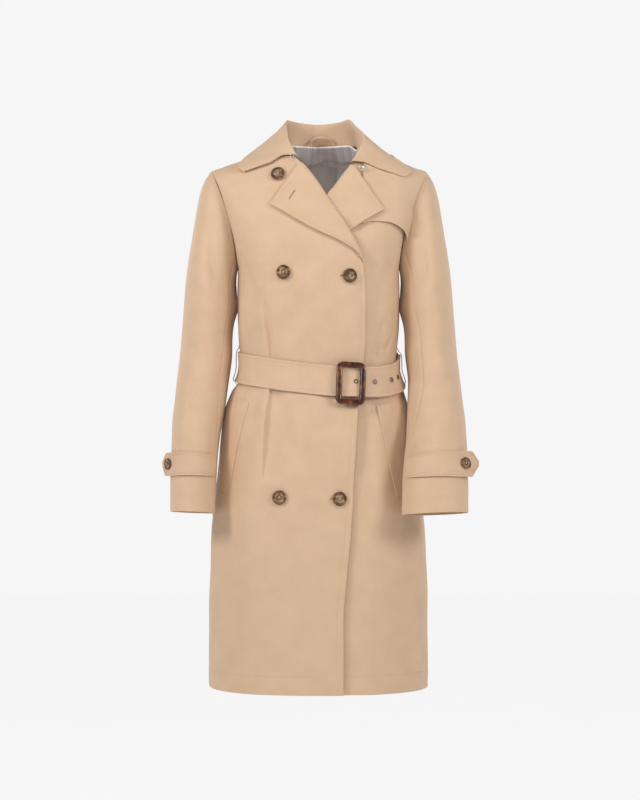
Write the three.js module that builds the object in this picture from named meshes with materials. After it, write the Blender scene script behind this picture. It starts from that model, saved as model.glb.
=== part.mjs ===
// Belted double-breasted trench coat, filled out as worn with nobody inside.
// Millimetres, +Z up, the front faces -Y and "left" and "right" are the viewer's.
// The origin is the middle of the neck opening, level with the tops of the shoulder seams.
import * as THREE from 'three';

// Cloth
const CLOTH = 1.5;
const LINING = 0.8;
const TRIM = 1.2;
const SEAM_GAP = 0.45;

// Body: the underarm level, how far the armhole rises and the hem drops from it
const UNDERARM_Z = -205;
const ARMHOLE_RISE = 168;
const HEM_DROP = -714;
const NECK_CENTRE_RISE = 232;
const SIDE_Y = 2;

// Armhole loop: shoulder point to underarm, half its front-to-back size, and its inward bow
const SHOULDER_HALF = 184;
const UNDERARM_HALF = 138;
const ARMHOLE_DEEP = 46;
const ARMHOLE_BOW = 8;

// Neckline: its half width at the shoulder seams and how far up the back panel reaches
const NECK_HALF = 68;
const BACK_NECK_LEVEL = 0.925;

// Body sections below the underarm: z, half width, front and back depth, squareness
const BODY = [
  { z: -930, wide: 187, front: 136, back: 132, square: 2.35 },
  { z: -800, wide: 184, front: 133, back: 128, square: 2.4 },
  { z: -716, wide: 181, front: 131, back: 125, square: 2.45 },
  { z: -628, wide: 176, front: 128, back: 121, square: 2.5 },
  { z: -560, wide: 168, front: 124, back: 116, square: 2.5 },
  { z: -500, wide: 162, front: 119, back: 110, square: 2.5 },
  { z: -450, wide: 152, front: 112, back: 100, square: 2.6 },
  { z: -415, wide: 141, front: 100, back: 86, square: 2.7 },
  { z: -380, wide: 133, front: 95, back: 80, square: 2.8 },
  { z: -350, wide: 134, front: 96, back: 82, square: 2.7 },
  { z: -310, wide: 137, front: 100, back: 90, square: 2.6 },
  { z: -260, wide: 139, front: 104, back: 97, square: 2.5 },
  { z: -205, wide: 138, front: 106, back: 100, square: 2.4 },
];

// Upper body: depth on the centre line at each share of the armhole rise
const CHEST = [
  { rise: 0, front: 106, back: 100 },
  { rise: 0.3, front: 98, back: 99 },
  { rise: 0.52, front: 87, back: 92 },
  { rise: 0.75, front: 68, back: 79 },
  { rise: 0.88, front: 53, back: 67 },
  { rise: 1, front: 40, back: 54 },
];
const SHOULDER_TURN = 0.86;

// Front edge of the lapped side: height from the underarm level, and x
const OVER_EDGE = [
  { up: -730, x: 41 },
  { up: -596, x: 41 },
  { up: -514, x: 47 },
  { up: -437, x: 54 },
  { up: -326, x: 60 },
  { up: -232, x: 66 },
  { up: -162, x: 75 },
  { up: -106, x: 78 },
  { up: -60, x: 78 },
  { up: 0, x: 75.5 },
  { up: 45, x: 50 },
  { up: 87, x: 11 },
  { up: 128, x: -26 },
  { up: 150, x: -48 },
  { up: 168, x: -NECK_HALF },
];

// Front edge of the side beneath it
const UNDER_EDGE = [
  { up: -730, x: -60 },
  { up: -60, x: -64 },
  { up: 0, x: -68 },
  { up: 45, x: -30 },
  { up: 87, x: 11 },
  { up: 117, x: 34 },
  { up: 147, x: 57 },
  { up: 168, x: NECK_HALF },
];
const UNDER_SHIFT = 5.2;
const UNDER_FADE = { from: 14, to: 46 };

// Rows of every body panel, as heights from the underarm level
const ROWS = [-714, -640, -566, -492, -418, -354, -296, -245, -205, -172, -138, -100, -50, 0,
  22, 46, 72, 98, 120, 136, 148, 157, 164, 168];
const FRONT_COLUMNS = 13;
const BACK_COLUMNS = 20;
const SIDE_STEP = 1e-5;

// Large folds of the body. Place around it is in quarter turns from the front centre, + to the right.
const QUARTER = 235;
const FOLDS = [
  { from: -0.28, to: -0.24, low: -340, high: -215, width: 20, depth: -4 },
  { from: -0.42, to: -0.4, low: -560, high: -225, width: 26, depth: 5 },
  { from: -0.2, to: -0.1, low: -460, high: -225, width: 22, depth: 3.5 },
  { from: -0.62, to: -0.66, low: -640, high: -230, width: 30, depth: -5 },
  { from: -0.34, to: -0.3, low: -160, high: -40, width: 20, depth: -4 },
  { from: -0.72, to: -0.66, low: -165, high: -30, width: 24, depth: 4 },
  { from: 0.62, to: 0.5, low: -165, high: -40, width: 26, depth: 4 },
  { from: 0.56, to: 0.52, low: -420, high: -215, width: 22, depth: -4 },
  { from: 0.44, to: 0.42, low: -620, high: -300, width: 30, depth: 4 },
  { from: 0.9, to: 0.84, low: -700, high: -330, width: 34, depth: 5 },
  { from: -0.92, to: -0.86, low: -714, high: -330, width: 34, depth: 5 },
  { from: 1.3, to: 1.36, low: -700, high: -220, width: 34, depth: -6 },
  { from: -1.3, to: -1.36, low: -700, high: -220, width: 34, depth: -6 },
  { from: 1.62, to: 1.66, low: -640, high: -225, width: 32, depth: 6 },
  { from: -1.62, to: -1.66, low: -640, high: -225, width: 32, depth: 6 },
  { from: 1.45, to: 1.55, low: -165, high: 20, width: 28, depth: 5 },
  { from: -1.45, to: -1.55, low: -165, high: 20, width: 28, depth: 5 },
];

// The belt presses the folds flat around this height
const CINCH = { up: -178, reach: 44, hold: 0.9 };

// Sleeve rings: outer and inner point of each, middle y, half depth, and rise of the front point
const ARMHOLE_RING = { outX: SHOULDER_HALF, outZ: -37, inX: UNDERARM_HALF, inZ: -205, y: SIDE_Y, deep: 46, rise: 0 };
const SLEEVE_TOP = [
  { outX: 198, outZ: -58, inX: 141, inZ: -222, y: 2, deep: 54, rise: 0 },
  { outX: 210, outZ: -105, inX: 143.5, inZ: -240, y: 1, deep: 60, rise: 0 },
  { outX: 219, outZ: -165, inX: 145, inZ: -262, y: 0, deep: 63, rise: 0 },
  { outX: 227, outZ: -235, inX: 146.5, inZ: -295, y: -2, deep: 62, rise: 2 },
];
const SLEEVE_LEFT = [
  { outX: 236, outZ: -327, inX: 147, inZ: -345, y: -5, deep: 59, rise: 3 },
  { outX: 242, outZ: -385, inX: 154, inZ: -400, y: -15, deep: 57, rise: 4 },
  { outX: 246, outZ: -438, inX: 161, inZ: -450, y: -27, deep: 55, rise: 5 },
  { outX: 248.5, outZ: -480, inX: 166.5, inZ: -490, y: -40, deep: 53, rise: 5 },
  { outX: 249.5, outZ: -519, inX: 170.5, inZ: -527, y: -52, deep: 51, rise: 5 },
  { outX: 250, outZ: -562, inX: 173, inZ: -566, y: -63, deep: 50, rise: 4 },
  { outX: 249.6, outZ: -617, inX: 174, inZ: -620, y: -76, deep: 49, rise: 4 },
];
const SLEEVE_RIGHT = [
  { outX: 236, outZ: -327, inX: 147, inZ: -342, y: -8, deep: 59, rise: 4 },
  { outX: 241.5, outZ: -385, inX: 153, inZ: -400, y: -25, deep: 57, rise: 6 },
  { outX: 245, outZ: -438, inX: 151, inZ: -452, y: -52, deep: 54, rise: 8 },
  { outX: 247.5, outZ: -480, inX: 147, inZ: -492, y: -80, deep: 52, rise: 7 },
  { outX: 249, outZ: -519, inX: 143, inZ: -529, y: -101, deep: 50, rise: 6 },
  { outX: 249, outZ: -565, inX: 140, inZ: -570, y: -119, deep: 49, rise: 5 },
  { outX: 248.3, outZ: -616, inX: 137.5, inZ: -620, y: -134, deep: 49, rise: 5 },
];
const SLEEVE_ROWS = 15;
const SLEEVE_RADIUS = 42;
const TOP_SLEEVE_COLUMNS = 15;
const UNDER_SLEEVE_COLUMNS = 9;

// Places of a sleeve's two seams, in degrees towards the front from the outer line
const FRONT_SEAM = [
  { along: 0, angle: 116 },
  { along: 0.42, angle: 119 },
  { along: 0.62, angle: 148 },
  { along: 0.8, angle: 156 },
  { along: 1, angle: 160 },
];
const BACK_SEAM = THREE.MathUtils.degToRad(250);

// Creases across the sleeves: share of the length, angle, and size along and around
const SLEEVE_FOLDS = [
  { along: 0.42, around: 120, long: 0.05, wide: 46, depth: -4 },
  { along: 0.52, around: 40, long: 0.05, wide: 40, depth: -3 },
  { along: 0.34, around: 60, long: 0.06, wide: 50, depth: 3 },
  { along: 0.6, around: 130, long: 0.05, wide: 42, depth: 3 },
  { along: 0.5, around: 260, long: 0.07, wide: 50, depth: -4 },
  { along: 0.24, around: 100, long: 0.08, wide: 38, depth: -4 },
];

// Colours, roughness and metalness
const COLOURS = {
  cloth: { color: 0xdcbd9c, roughness: 0.8, metalness: 0 },
  lining: { color: 0xb9aba6, roughness: 0.6, metalness: 0 },
  label: { color: 0xe9e6e0, roughness: 0.7, metalness: 0 },
  horn: { color: 0x5a3824, roughness: 0.25, metalness: 0 },
  shell: { color: 0x6b3418, roughness: 0.15, metalness: 0 },
  steel: { color: 0xb9bcc0, roughness: 0.3, metalness: 0.9 },
  dark_metal: { color: 0x6a5f55, roughness: 0.35, metalness: 0.85 },
};

const coat = new THREE.Group();

function material(name) {
  return new THREE.MeshStandardMaterial({ name, ...COLOURS[name], side: THREE.FrontSide });
}

function addPiece(name, geometry, finish) {
  const mesh = new THREE.Mesh(geometry, material(finish));
  mesh.name = name;
  coat.add(mesh);
  return mesh;
}

// A smooth curve through one column of a table, read by another
function column(table, key, value) {
  const rows = [...table].sort((a, b) => a[key] - b[key]);
  const xs = rows.map((row) => row[key]);
  const ys = rows.map((row) => row[value]);
  const last = xs.length - 1;
  const slope = ys.map((y, i) => {
    if (i === 0 || i === last) {
      return 0;
    }
    const before = (y - ys[i - 1]) / (xs[i] - xs[i - 1]);
    const after = (ys[i + 1] - y) / (xs[i + 1] - xs[i]);
    return before * after <= 0 ? 0 : (2 * before * after) / (before + after);
  });
  return (x) => {
    const at = Math.min(Math.max(x, xs[0]), xs[last]);
    let i = 0;
    while (i < last - 1 && at > xs[i + 1]) {
      i += 1;
    }
    const span = xs[i + 1] - xs[i];
    const s = (at - xs[i]) / span;
    const a = ys[i] * (1 + 2 * s) * (1 - s) ** 2 + ys[i + 1] * s * s * (3 - 2 * s);
    const b = slope[i] * s * (1 - s) ** 2 - slope[i + 1] * s * s * (1 - s);
    return a + b * span;
  };
}

function smooth(low, high, value) {
  return THREE.MathUtils.smoothstep(value, low, high);
}

function mix(a, b, share) {
  return a + (b - a) * share;
}

const wideAt = column(BODY, 'z', 'wide');
const frontAtZ = column(BODY, 'z', 'front');
const backAtZ = column(BODY, 'z', 'back');
const squareAt = column(BODY, 'z', 'square');
const chestFront = column(CHEST, 'rise', 'front');
const chestBack = column(CHEST, 'rise', 'back');
const overEdge = column(OVER_EDGE, 'up', 'x');
const underEdge = column(UNDER_EDGE, 'up', 'x');

// Sizes of the body's section at a height: half width, side point, centre height and depths
function section(up) {
  if (up <= 0) {
    const z = UNDERARM_Z + up;
    return {
      wide: wideAt(z), sideY: SIDE_Y, backSideY: SIDE_Y, sideZ: z, centreZ: z,
      front: -frontAtZ(z), back: backAtZ(z), square: squareAt(z), bow: 2,
    };
  }
  const rise = up / ARMHOLE_RISE;
  const sine = Math.sqrt(Math.max(0, 1 - (2 * rise - 1) ** 2));
  const turn = Math.sqrt(Math.max(0, 1 - (Math.max(0, rise - SHOULDER_TURN) / (1 - SHOULDER_TURN)) ** 2));
  return {
    wide: mix(UNDERARM_HALF, SHOULDER_HALF, rise) - ARMHOLE_BOW * sine * sine,
    sideY: SIDE_Y - ARMHOLE_DEEP * sine,
    backSideY: SIDE_Y + ARMHOLE_DEEP * sine,
    sideZ: UNDERARM_Z + up,
    centreZ: UNDERARM_Z + NECK_CENTRE_RISE * rise,
    front: SIDE_Y - (chestFront(rise) + SIDE_Y) * turn,
    back: SIDE_Y + (chestBack(rise) - SIDE_Y) * turn,
    square: 2.4,
    bow: 2 - rise,
  };
}

// Point of the plain body: place around it in quarter turns, height from the underarm level
function plainPoint(around, up) {
  const sizes = section(up);
  const turn = Math.abs(around);
  const isBack = turn > 1;
  const share = isBack ? 2 - turn : turn;
  const angle = share * Math.PI / 2;
  const scale = (Math.cos(angle) ** sizes.square + Math.sin(angle) ** sizes.square) ** (-1 / sizes.square);
  const out = Math.sin(angle) * scale;
  const deep = Math.max(0, Math.cos(angle)) * scale;
  const sideY = isBack ? sizes.backSideY : sizes.sideY;
  const centreY = isBack ? sizes.back : sizes.front;
  return new THREE.Vector3(
    Math.sign(around) * sizes.wide * out,
    sideY + (centreY - sideY) * deep,
    sizes.centreZ + (sizes.sideZ - sizes.centreZ) * out ** sizes.bow,
  );
}

function bodyNormal(around, up) {
  const stepAround = 0.004;
  const stepUp = 1;
  const lowUp = Math.min(up, ARMHOLE_RISE - 2 * stepUp) - stepUp;
  const inside = Math.min(Math.max(Math.abs(around), 0), 2);
  const middle = Math.sign(around || 1) * Math.min(inside, 2 - stepAround);
  const across = plainPoint(middle + stepAround, up).sub(plainPoint(middle - stepAround, up));
  const rising = plainPoint(middle, lowUp + 2 * stepUp).sub(plainPoint(middle, lowUp));
  return across.cross(rising).normalize();
}

function foldDepth(around, up) {
  let depth = 0;
  for (const fold of FOLDS) {
    const share = (up - fold.low) / (fold.high - fold.low);
    if (share > 0 && share < 1) {
      const middle = mix(fold.from, fold.to, share);
      const off = (around - middle) * QUARTER / fold.width;
      depth += fold.depth * Math.exp(-off * off) * Math.sin(Math.PI * share) ** 0.8;
    }
  }
  return depth * (1 - CINCH.hold * Math.exp(-(((up - CINCH.up) / CINCH.reach) ** 2)));
}

function bodyPoint(around, up, lift) {
  const point = plainPoint(around, up);
  return point.addScaledVector(bodyNormal(around, up), lift + foldDepth(around, up));
}

// Place around the body, in quarter turns, of an x on a section
function aroundOf(x, up, isBack = false) {
  const sizes = section(up);
  const out = Math.min(Math.abs(x) / sizes.wide, 1);
  const deep = (1 - out ** sizes.square) ** (1 / sizes.square);
  const share = Math.atan2(out, deep) / (Math.PI / 2);
  return (x < 0 ? -1 : 1) * (isBack ? 2 - share : share);
}

// Height from the underarm level at which the surface has this x and z
function upOf(x, z) {
  let low = HEM_DROP - 20;
  let high = ARMHOLE_RISE;
  for (let i = 0; i < 40; i += 1) {
    const up = (low + high) / 2;
    const sizes = section(up);
    const out = Math.min(Math.abs(x) / sizes.wide, 1);
    const height = sizes.centreZ + (sizes.sideZ - sizes.centreZ) * out ** sizes.bow;
    if (height < z) {
      low = up;
    } else {
      high = up;
    }
  }
  return (low + high) / 2;
}

function onFront(x, z, lift) {
  const up = upOf(x, z);
  return bodyPoint(aroundOf(x, up), up, lift);
}

function frontNormal(x, z) {
  const up = upOf(x, z);
  return bodyNormal(aroundOf(x, up), up);
}

// How far the under side sinks below the lapped side
function underShift(x, up) {
  const past = x - overEdge(up);
  return UNDER_SHIFT * (1 - smooth(UNDER_FADE.from, UNDER_FADE.to, past));
}

// A closed solid from an outer and an inner grid of points; wrap joins the last column to the first
function gridSolid(outer, inner, wrap = false) {
  const rows = outer.length;
  const columns = outer[0].length;
  const flat = [...outer.flat(), ...inner.flat()];
  const half = rows * columns;
  const faces = [];
  const steps = wrap ? columns : columns - 1;
  for (let i = 0; i < rows - 1; i += 1) {
    for (let j = 0; j < steps; j += 1) {
      const next = (j + 1) % columns;
      const a = i * columns + j;
      const b = i * columns + next;
      const c = (i + 1) * columns + next;
      const d = (i + 1) * columns + j;
      faces.push([a, b, c], [a, c, d]);
    }
  }
  const directed = new Set(faces.flatMap(([a, b, c]) => [`${a}_${b}`, `${b}_${c}`, `${c}_${a}`]));
  const back = faces.map(([a, b, c]) => [a + half, c + half, b + half]);
  const rim = [];
  for (const edge of directed) {
    const [a, b] = edge.split('_').map(Number);
    if (!directed.has(`${b}_${a}`)) {
      rim.push([b, a, a + half], [b, a + half, b + half]);
    }
  }
  return solid(flat, [...faces, ...back, ...rim]);
}

// A geometry whose faces point out
function solid(points, faces) {
  let volume = 0;
  for (const [a, b, c] of faces) {
    volume += points[a].dot(new THREE.Vector3().crossVectors(points[b], points[c]));
  }
  const turned = volume < 0 ? faces.map(([a, b, c]) => [a, c, b]) : faces;
  const geometry = new THREE.BufferGeometry();
  geometry.setAttribute('position', new THREE.Float32BufferAttribute(points.flatMap((p) => [p.x, p.y, p.z]), 3));
  geometry.setIndex(turned.flat());
  geometry.computeVertexNormals();
  return geometry;
}

// The wall behind a grid of outer points. facing is 1 where columns times rows points out.
function wall(outer, thick, facing = 1, wrap = false) {
  const rows = outer.length;
  const columns = outer[0].length;
  const inner = outer.map((row, i) => row.map((point, j) => {
    const before = wrap ? (j + columns - 1) % columns : Math.max(j - 1, 0);
    const after = wrap ? (j + 1) % columns : Math.min(j + 1, columns - 1);
    const across = row[after].clone().sub(row[before]);
    const along = outer[Math.min(i + 1, rows - 1)][j].clone().sub(outer[Math.max(i - 1, 0)][j]);
    const normal = across.cross(along).normalize();
    return point.clone().addScaledVector(normal, -thick * facing);
  }));
  return gridSolid(outer, inner, wrap);
}

function grid(rows, columns, pointAt) {
  return Array.from({ length: rows + 1 }, (unusedRow, i) =>
    Array.from({ length: columns + 1 }, (unusedColumn, j) => pointAt(i / rows, j / columns)));
}

// Body panels
function frontPanel(side) {
  const isOver = side < 0;
  const face = (lift) => ROWS.map((up) => {
    const edge = aroundOf(isOver ? overEdge(up) : underEdge(up), up);
    const first = isOver ? side : edge;
    const last = isOver ? edge : side;
    return Array.from({ length: FRONT_COLUMNS + 1 }, (unused, j) => {
      const around = mix(first, last, j / FRONT_COLUMNS);
      const x = plainPoint(around, up).x;
      const point = bodyPoint(around, up, lift - (isOver ? 0 : underShift(x, up)));
      point.y = Math.min(point.y, SIDE_Y - SEAM_GAP / 2);
      return point;
    });
  });
  return gridSolid(face(0), face(-CLOTH));
}

function backTop(around) {
  const fromCentre = Math.abs(2 - Math.abs(around));
  const neckSide = 0.235;
  return fromCentre < neckSide ? mix(BACK_NECK_LEVEL, 1, (fromCentre / neckSide) ** 2.6) : 1;
}

// Body point for a place around the back that runs on past the centre
function backPoint(around, up, lift) {
  const place = around > 2 ? around - 4 : around;
  return bodyPoint(place, up, lift);
}

function backRow(level, around) {
  const place = around > 2 ? 4 - around : around;
  return level > 0 ? level * backTop(place) : level;
}

// Grid of the back between two of its columns, at a lift from its outer face
function backFace(levels, first, last, lift) {
  return levels.map((level) => Array.from({ length: last - first + 1 }, (unused, j) => {
    const around = mix(1 + SIDE_STEP, 3 - SIDE_STEP, (first + j) / BACK_COLUMNS);
    const point = backPoint(around, backRow(level, around), lift);
    point.y = Math.max(point.y, SIDE_Y + SEAM_GAP / 2);
    return point;
  }));
}

function backPanel() {
  return gridSolid(backFace(ROWS, 0, BACK_COLUMNS, 0), backFace(ROWS, 0, BACK_COLUMNS, -CLOTH));
}

// Half lining of the back, seen through the open neck
const LINING_LOW = -70;
const LINING_HIGH = 162;
const LINING_GAP = 2.2;
const LINING_COLUMN = 3;
function backLining() {
  const levels = ROWS.filter((level) => level >= LINING_LOW && level <= LINING_HIGH);
  const last = BACK_COLUMNS - LINING_COLUMN;
  return gridSolid(
    backFace(levels, LINING_COLUMN, last, -LINING_GAP),
    backFace(levels, LINING_COLUMN, last, -LINING_GAP - LINING),
  );
}

const LABEL = { left: -18, right: 33, top: -12, bottom: -66 };
function label() {
  const outer = grid(3, 4, (low, across) => {
    const x = mix(LABEL.left, LABEL.right, across);
    const z = mix(LABEL.bottom, LABEL.top, low);
    const up = upOf(x, z);
    return bodyPoint(aroundOf(x, up, true), up, -LINING_GAP - LINING - 1.5);
  });
  return wall(outer, 0.5);
}

// Lapels: fold line from the notch down to the break, then the outer edge from the corner to the break
const LEFT_FOLD = { top: 133, bottom: 5 };
const LEFT_OUTER = [
  { share: 0, x: -80, z: -101 },
  { share: 0.5, x: -10, z: -142 },
  { share: 0.9, x: 58, z: -177 },
  { share: 1, x: 71, z: -191 },
];
const RIGHT_FOLD = { top: 134, bottom: 84, share: 0.55, hiddenX: 31, hiddenZ: -150 };
const RIGHT_OUTER = [
  { share: 0, x: 107, z: -111 },
  { share: 0.5, x: 74, z: -131 },
  { share: 1, x: 37, z: -155 },
];
const LAPEL_LIFT = 2.5;
const LAPEL_ROLL = [
  { across: 0, beyond: 3, lift: -0.4 },
  { across: 0.02, beyond: 2.8, lift: 1.8 },
  { across: 0.06, beyond: 0.8, lift: 3.4 },
  { across: 0.2, beyond: 0, lift: 4.2 },
  { across: 0.45, beyond: 0, lift: 3.8 },
  { across: 0.72, beyond: 0, lift: 3.8 },
  { across: 1, beyond: 0, lift: 4.4 },
];

function leftFold(share) {
  const up = mix(LEFT_FOLD.top, LEFT_FOLD.bottom, share);
  const point = plainPoint(aroundOf(overEdge(up), up), up);
  return { x: overEdge(up), z: point.z };
}

// The right fold line follows the panel's edge, then hides below the lapped side
function rightFold(share) {
  const up = mix(RIGHT_FOLD.top, RIGHT_FOLD.bottom, Math.min(share / RIGHT_FOLD.share, 1));
  const x = underEdge(up);
  const z = plainPoint(aroundOf(x, up), up).z;
  const past = Math.max(0, (share - RIGHT_FOLD.share) / (1 - RIGHT_FOLD.share));
  return { x: mix(x, RIGHT_FOLD.hiddenX, past), z: mix(z, RIGHT_FOLD.hiddenZ, past) };
}

function lapel(foldAt, outerEdge, side) {
  const outerX = column(outerEdge, 'share', 'x');
  const outerZ = column(outerEdge, 'share', 'z');
  const steps = 10;
  const outer = Array.from({ length: steps + 1 }, (unused, i) => {
    const share = i / steps;
    const shrink = share > 0.9 ? 0.9 : 1;
    return LAPEL_ROLL.map((row) => {
      const roll = (side < 0 ? 1 : 1.25) * shrink * row.beyond;
      const x = mix(foldAt(share).x, outerX(share), row.across) - side * roll;
      const z = mix(foldAt(share).z, outerZ(share), row.across);
      const up = upOf(x, z);
      const sunk = side < 0 ? 0 : underShift(x, up);
      const hidden = side < 0 ? 0 : 1 - smooth(5, 16, x - overEdge(up));
      const isCovered = side > 0 && share > RIGHT_FOLD.share - 0.15;
      const onFlap = side < 0 ? 0 : 3.3 * smooth(38, 56, x);
      const lift = Math.max(row.lift, isCovered ? LAPEL_LIFT : row.lift) + onFlap;
      return bodyPoint(aroundOf(x, up), up, mix(lift, Math.min(lift, LAPEL_LIFT), hidden) - sunk);
    });
  });
  return wall(outer, 1.3, -side);
}

// Storm flap over the right chest, from the shoulder seam and armhole
const FLAP_EDGE = [
  { share: 0, rise: 0.34 },
  { share: 0.45, rise: 0.355 },
  { share: 0.75, rise: 0.38 },
  { share: 0.9, rise: 0.35 },
  { share: 1, rise: 0.29 },
];
const FLAP_LIFT = 3;
const FLAP_SINK = 0.45;
function stormFlap() {
  const edgeRise = column(FLAP_EDGE, 'share', 'rise');
  const levels = ROWS.filter((up) => up >= 78 && up <= 162);
  const columns = 10;
  const outer = [0, ...levels].map((level, i) => Array.from({ length: columns + 1 }, (unused, j) => {
    const across = j / columns;
    const up = i === 0 ? ARMHOLE_RISE * edgeRise(across) : level;
    const high = (up - levels[0]) / (ARMHOLE_RISE - levels[0]);
    const around = mix(aroundOf(mix(72, 78, high), up), 0.93, across);
    const open = (1 - smooth(0, 0.3, high)) * smooth(0.5, 0.9, across);
    const sunk = FLAP_SINK * underShift(plainPoint(around, up).x, up);
    return bodyPoint(around, up, FLAP_LIFT + 3 * open - sunk);
  }));
  return wall(outer, TRIM);
}

// Collar: one sheet from the neck seam up the stand, over the roll and down the leaf.
// Guide points run from the left front end around the back to the right front end.
const NECK_SEAM = [
  { at: 0, x: -37, y: -56, z: -17 },
  { at: 0.06, x: -45, y: -50, z: -9 },
  { at: 0.14, x: -55, y: -31, z: 0 },
  { at: 0.24, x: -64, y: 0, z: 6 },
  { at: 0.34, x: -56, y: 28, z: 9 },
  { at: 0.42, x: -32, y: 48, z: 11 },
  { at: 0.5, x: 0, y: 55, z: 12 },
  { at: 0.58, x: 32, y: 48, z: 11 },
  { at: 0.66, x: 56, y: 28, z: 9 },
  { at: 0.76, x: 64, y: 0, z: 6 },
  { at: 0.86, x: 60, y: -35, z: -5 },
  { at: 0.94, x: 53, y: -53, z: -17 },
  { at: 1, x: 46, y: -61, z: -28 },
];
const COLLAR_ROLL = [
  { at: 0, x: -39, y: -62, z: -14 },
  { at: 0.06, x: -46, y: -54, z: 0 },
  { at: 0.14, x: -53, y: -36, z: 20 },
  { at: 0.24, x: -56, y: -6, z: 45 },
  { at: 0.34, x: -52, y: 26, z: 56 },
  { at: 0.42, x: -32, y: 48, z: 54 },
  { at: 0.5, x: 0, y: 57, z: 52 },
  { at: 0.58, x: 32, y: 48, z: 54 },
  { at: 0.66, x: 50, y: 26, z: 57 },
  { at: 0.76, x: 65, y: -6, z: 42 },
  { at: 0.86, x: 69, y: -38, z: 20 },
  { at: 0.94, x: 61, y: -56, z: -5 },
  { at: 1, x: 51, y: -66, z: -24 },
];
const LEAF_EDGE = [
  { at: 0, x: -127, y: -38, z: -42 },
  { at: 0.06, x: -136, y: -30, z: -33 },
  { at: 0.14, x: -130, y: -14, z: -20 },
  { at: 0.24, x: -112, y: 16, z: -2 },
  { at: 0.34, x: -92, y: 58, z: -8 },
  { at: 0.42, x: -56, y: 84, z: -16 },
  { at: 0.5, x: 0, y: 93, z: -20 },
  { at: 0.58, x: 56, y: 84, z: -16 },
  { at: 0.66, x: 84, y: 58, z: -8 },
  { at: 0.76, x: 106, y: 16, z: -3 },
  { at: 0.86, x: 143, y: -14, z: -24 },
  { at: 0.94, x: 159, y: -30, z: -41 },
  { at: 1, x: 146, y: -40, z: -51 },
];
const COLLAR_COLUMNS = 30;
const ROLL_HALF = 2.6;
const LEAF_STEPS = 6;
const LEAF_BULGE = { left: 7, right: 4 };
const LEAF_CLEAR = 3.4;

function guide(table) {
  const parts = ['x', 'y', 'z'].map((axis) => column(table, 'at', axis));
  return (at) => new THREE.Vector3(...parts.map((part) => part(at)));
}

// Moves a point of the leaf out until it clears the cloth below it
function clearOf(point, clear) {
  const isBack = point.y > SIDE_Y;
  const cleared = (up) => bodyPoint(aroundOf(point.x, up, isBack), up, clear);
  let low = 0;
  let high = ARMHOLE_RISE;
  if (cleared(high).z < point.z) {
    return point;
  }
  for (let i = 0; i < 30; i += 1) {
    const up = (low + high) / 2;
    if (cleared(up).z < point.z) {
      low = up;
    } else {
      high = up;
    }
  }
  const below = cleared(low).y;
  const y = isBack ? Math.max(point.y, below) : Math.min(point.y, below);
  return new THREE.Vector3(point.x, y, point.z);
}

function collar() {
  const seam = guide(NECK_SEAM);
  const roll = guide(COLLAR_ROLL);
  const edge = guide(LEAF_EDGE);
  const outer = Array.from({ length: COLLAR_COLUMNS + 1 }, (unused, i) => {
    const at = i / COLLAR_COLUMNS;
    const foot = seam(at);
    const top = roll(at);
    const rim = edge(at);
    const out = rim.clone().sub(foot).setZ(0).normalize();
    const end = Math.min(at, 1 - at);
    const height = Math.min(1, 0.25 + end * 6);
    const stand = top.clone().addScaledVector(out, -ROLL_HALF).add(new THREE.Vector3(0, 0, -5 * height));
    const fall = top.clone().addScaledVector(out, ROLL_HALF).add(new THREE.Vector3(0, 0, -3 * height));
    const column0 = [foot, foot.clone().lerp(stand, 0.5), stand, top];
    for (let k = 0; k <= LEAF_STEPS; k += 1) {
      const share = k / LEAF_STEPS;
      const point = fall.clone().lerp(rim, share);
      const full = mix(LEAF_BULGE.left, LEAF_BULGE.right, smooth(0.5, 0.66, at));
      const bulge = full * Math.sin(Math.PI * share) * height;
      point.addScaledVector(out, bulge * 0.6);
      point.z += bulge;
      column0.push(clearOf(point, LEAF_CLEAR + 1.3 + 1.5));
    }
    return column0;
  });
  return wall(outer, CLOTH, -1);
}

// Belt: one strip from the buckle bar to the right, round the back, and out through the buckle again
const BELT_HALF = 24.5;
const BELT_THICK = 2;
const BELT_LINE = [
  { around: -1, z: -372 },
  { around: -0.55, z: -380 },
  { around: -0.2, z: -391 },
  { around: 0.2, z: -400 },
  { around: 0.42, z: -401 },
  { around: 0.62, z: -396 },
  { around: 1, z: -377 },
  { around: 2, z: -362 },
  { around: 3, z: -372 },
];
const BUCKLE_X = 55;
const BELT_LIFT = 4.4;
const TAIL_LIFT = 7.2;
const WINDOW_LIFT = 9.2;
const BELT_COLUMNS = 60;
const BELT_ROWS = 2;

function beltPoint(around, share, lift) {
  const beltZ = column(BELT_LINE, 'around', 'z');
  const turn = around > 3 ? around - 4 : around;
  const line = beltZ(turn < -1 ? turn + 4 : turn);
  const place = around > 2 ? around - 4 : around;
  const z = line + mix(-BELT_HALF, BELT_HALF, share);
  return plainPoint(place, z - UNDERARM_Z).addScaledVector(bodyNormal(place, line - UNDERARM_Z), lift);
}

function belt() {
  const start = aroundOf(BUCKLE_X + 6, BELT_LINE[4].z - UNDERARM_Z);
  const end = 5.02;
  const atBuckle = 4 + aroundOf(BUCKLE_X, BELT_LINE[4].z - UNDERARM_Z);
  const outer = Array.from({ length: BELT_ROWS + 1 }, (unusedRow, i) =>
    Array.from({ length: BELT_COLUMNS + 1 }, (unusedColumn, j) => {
      const around = mix(start, end, j / BELT_COLUMNS);
      const rise = smooth(atBuckle - 0.3, atBuckle - 0.06, around);
      const fall = smooth(atBuckle + 0.1, atBuckle + 0.36, around);
      const lift = mix(mix(BELT_LIFT, WINDOW_LIFT, rise), TAIL_LIFT, fall);
      return beltPoint(around, i / BELT_ROWS, lift);
    }));
  return wall(outer, BELT_THICK);
}

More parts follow.
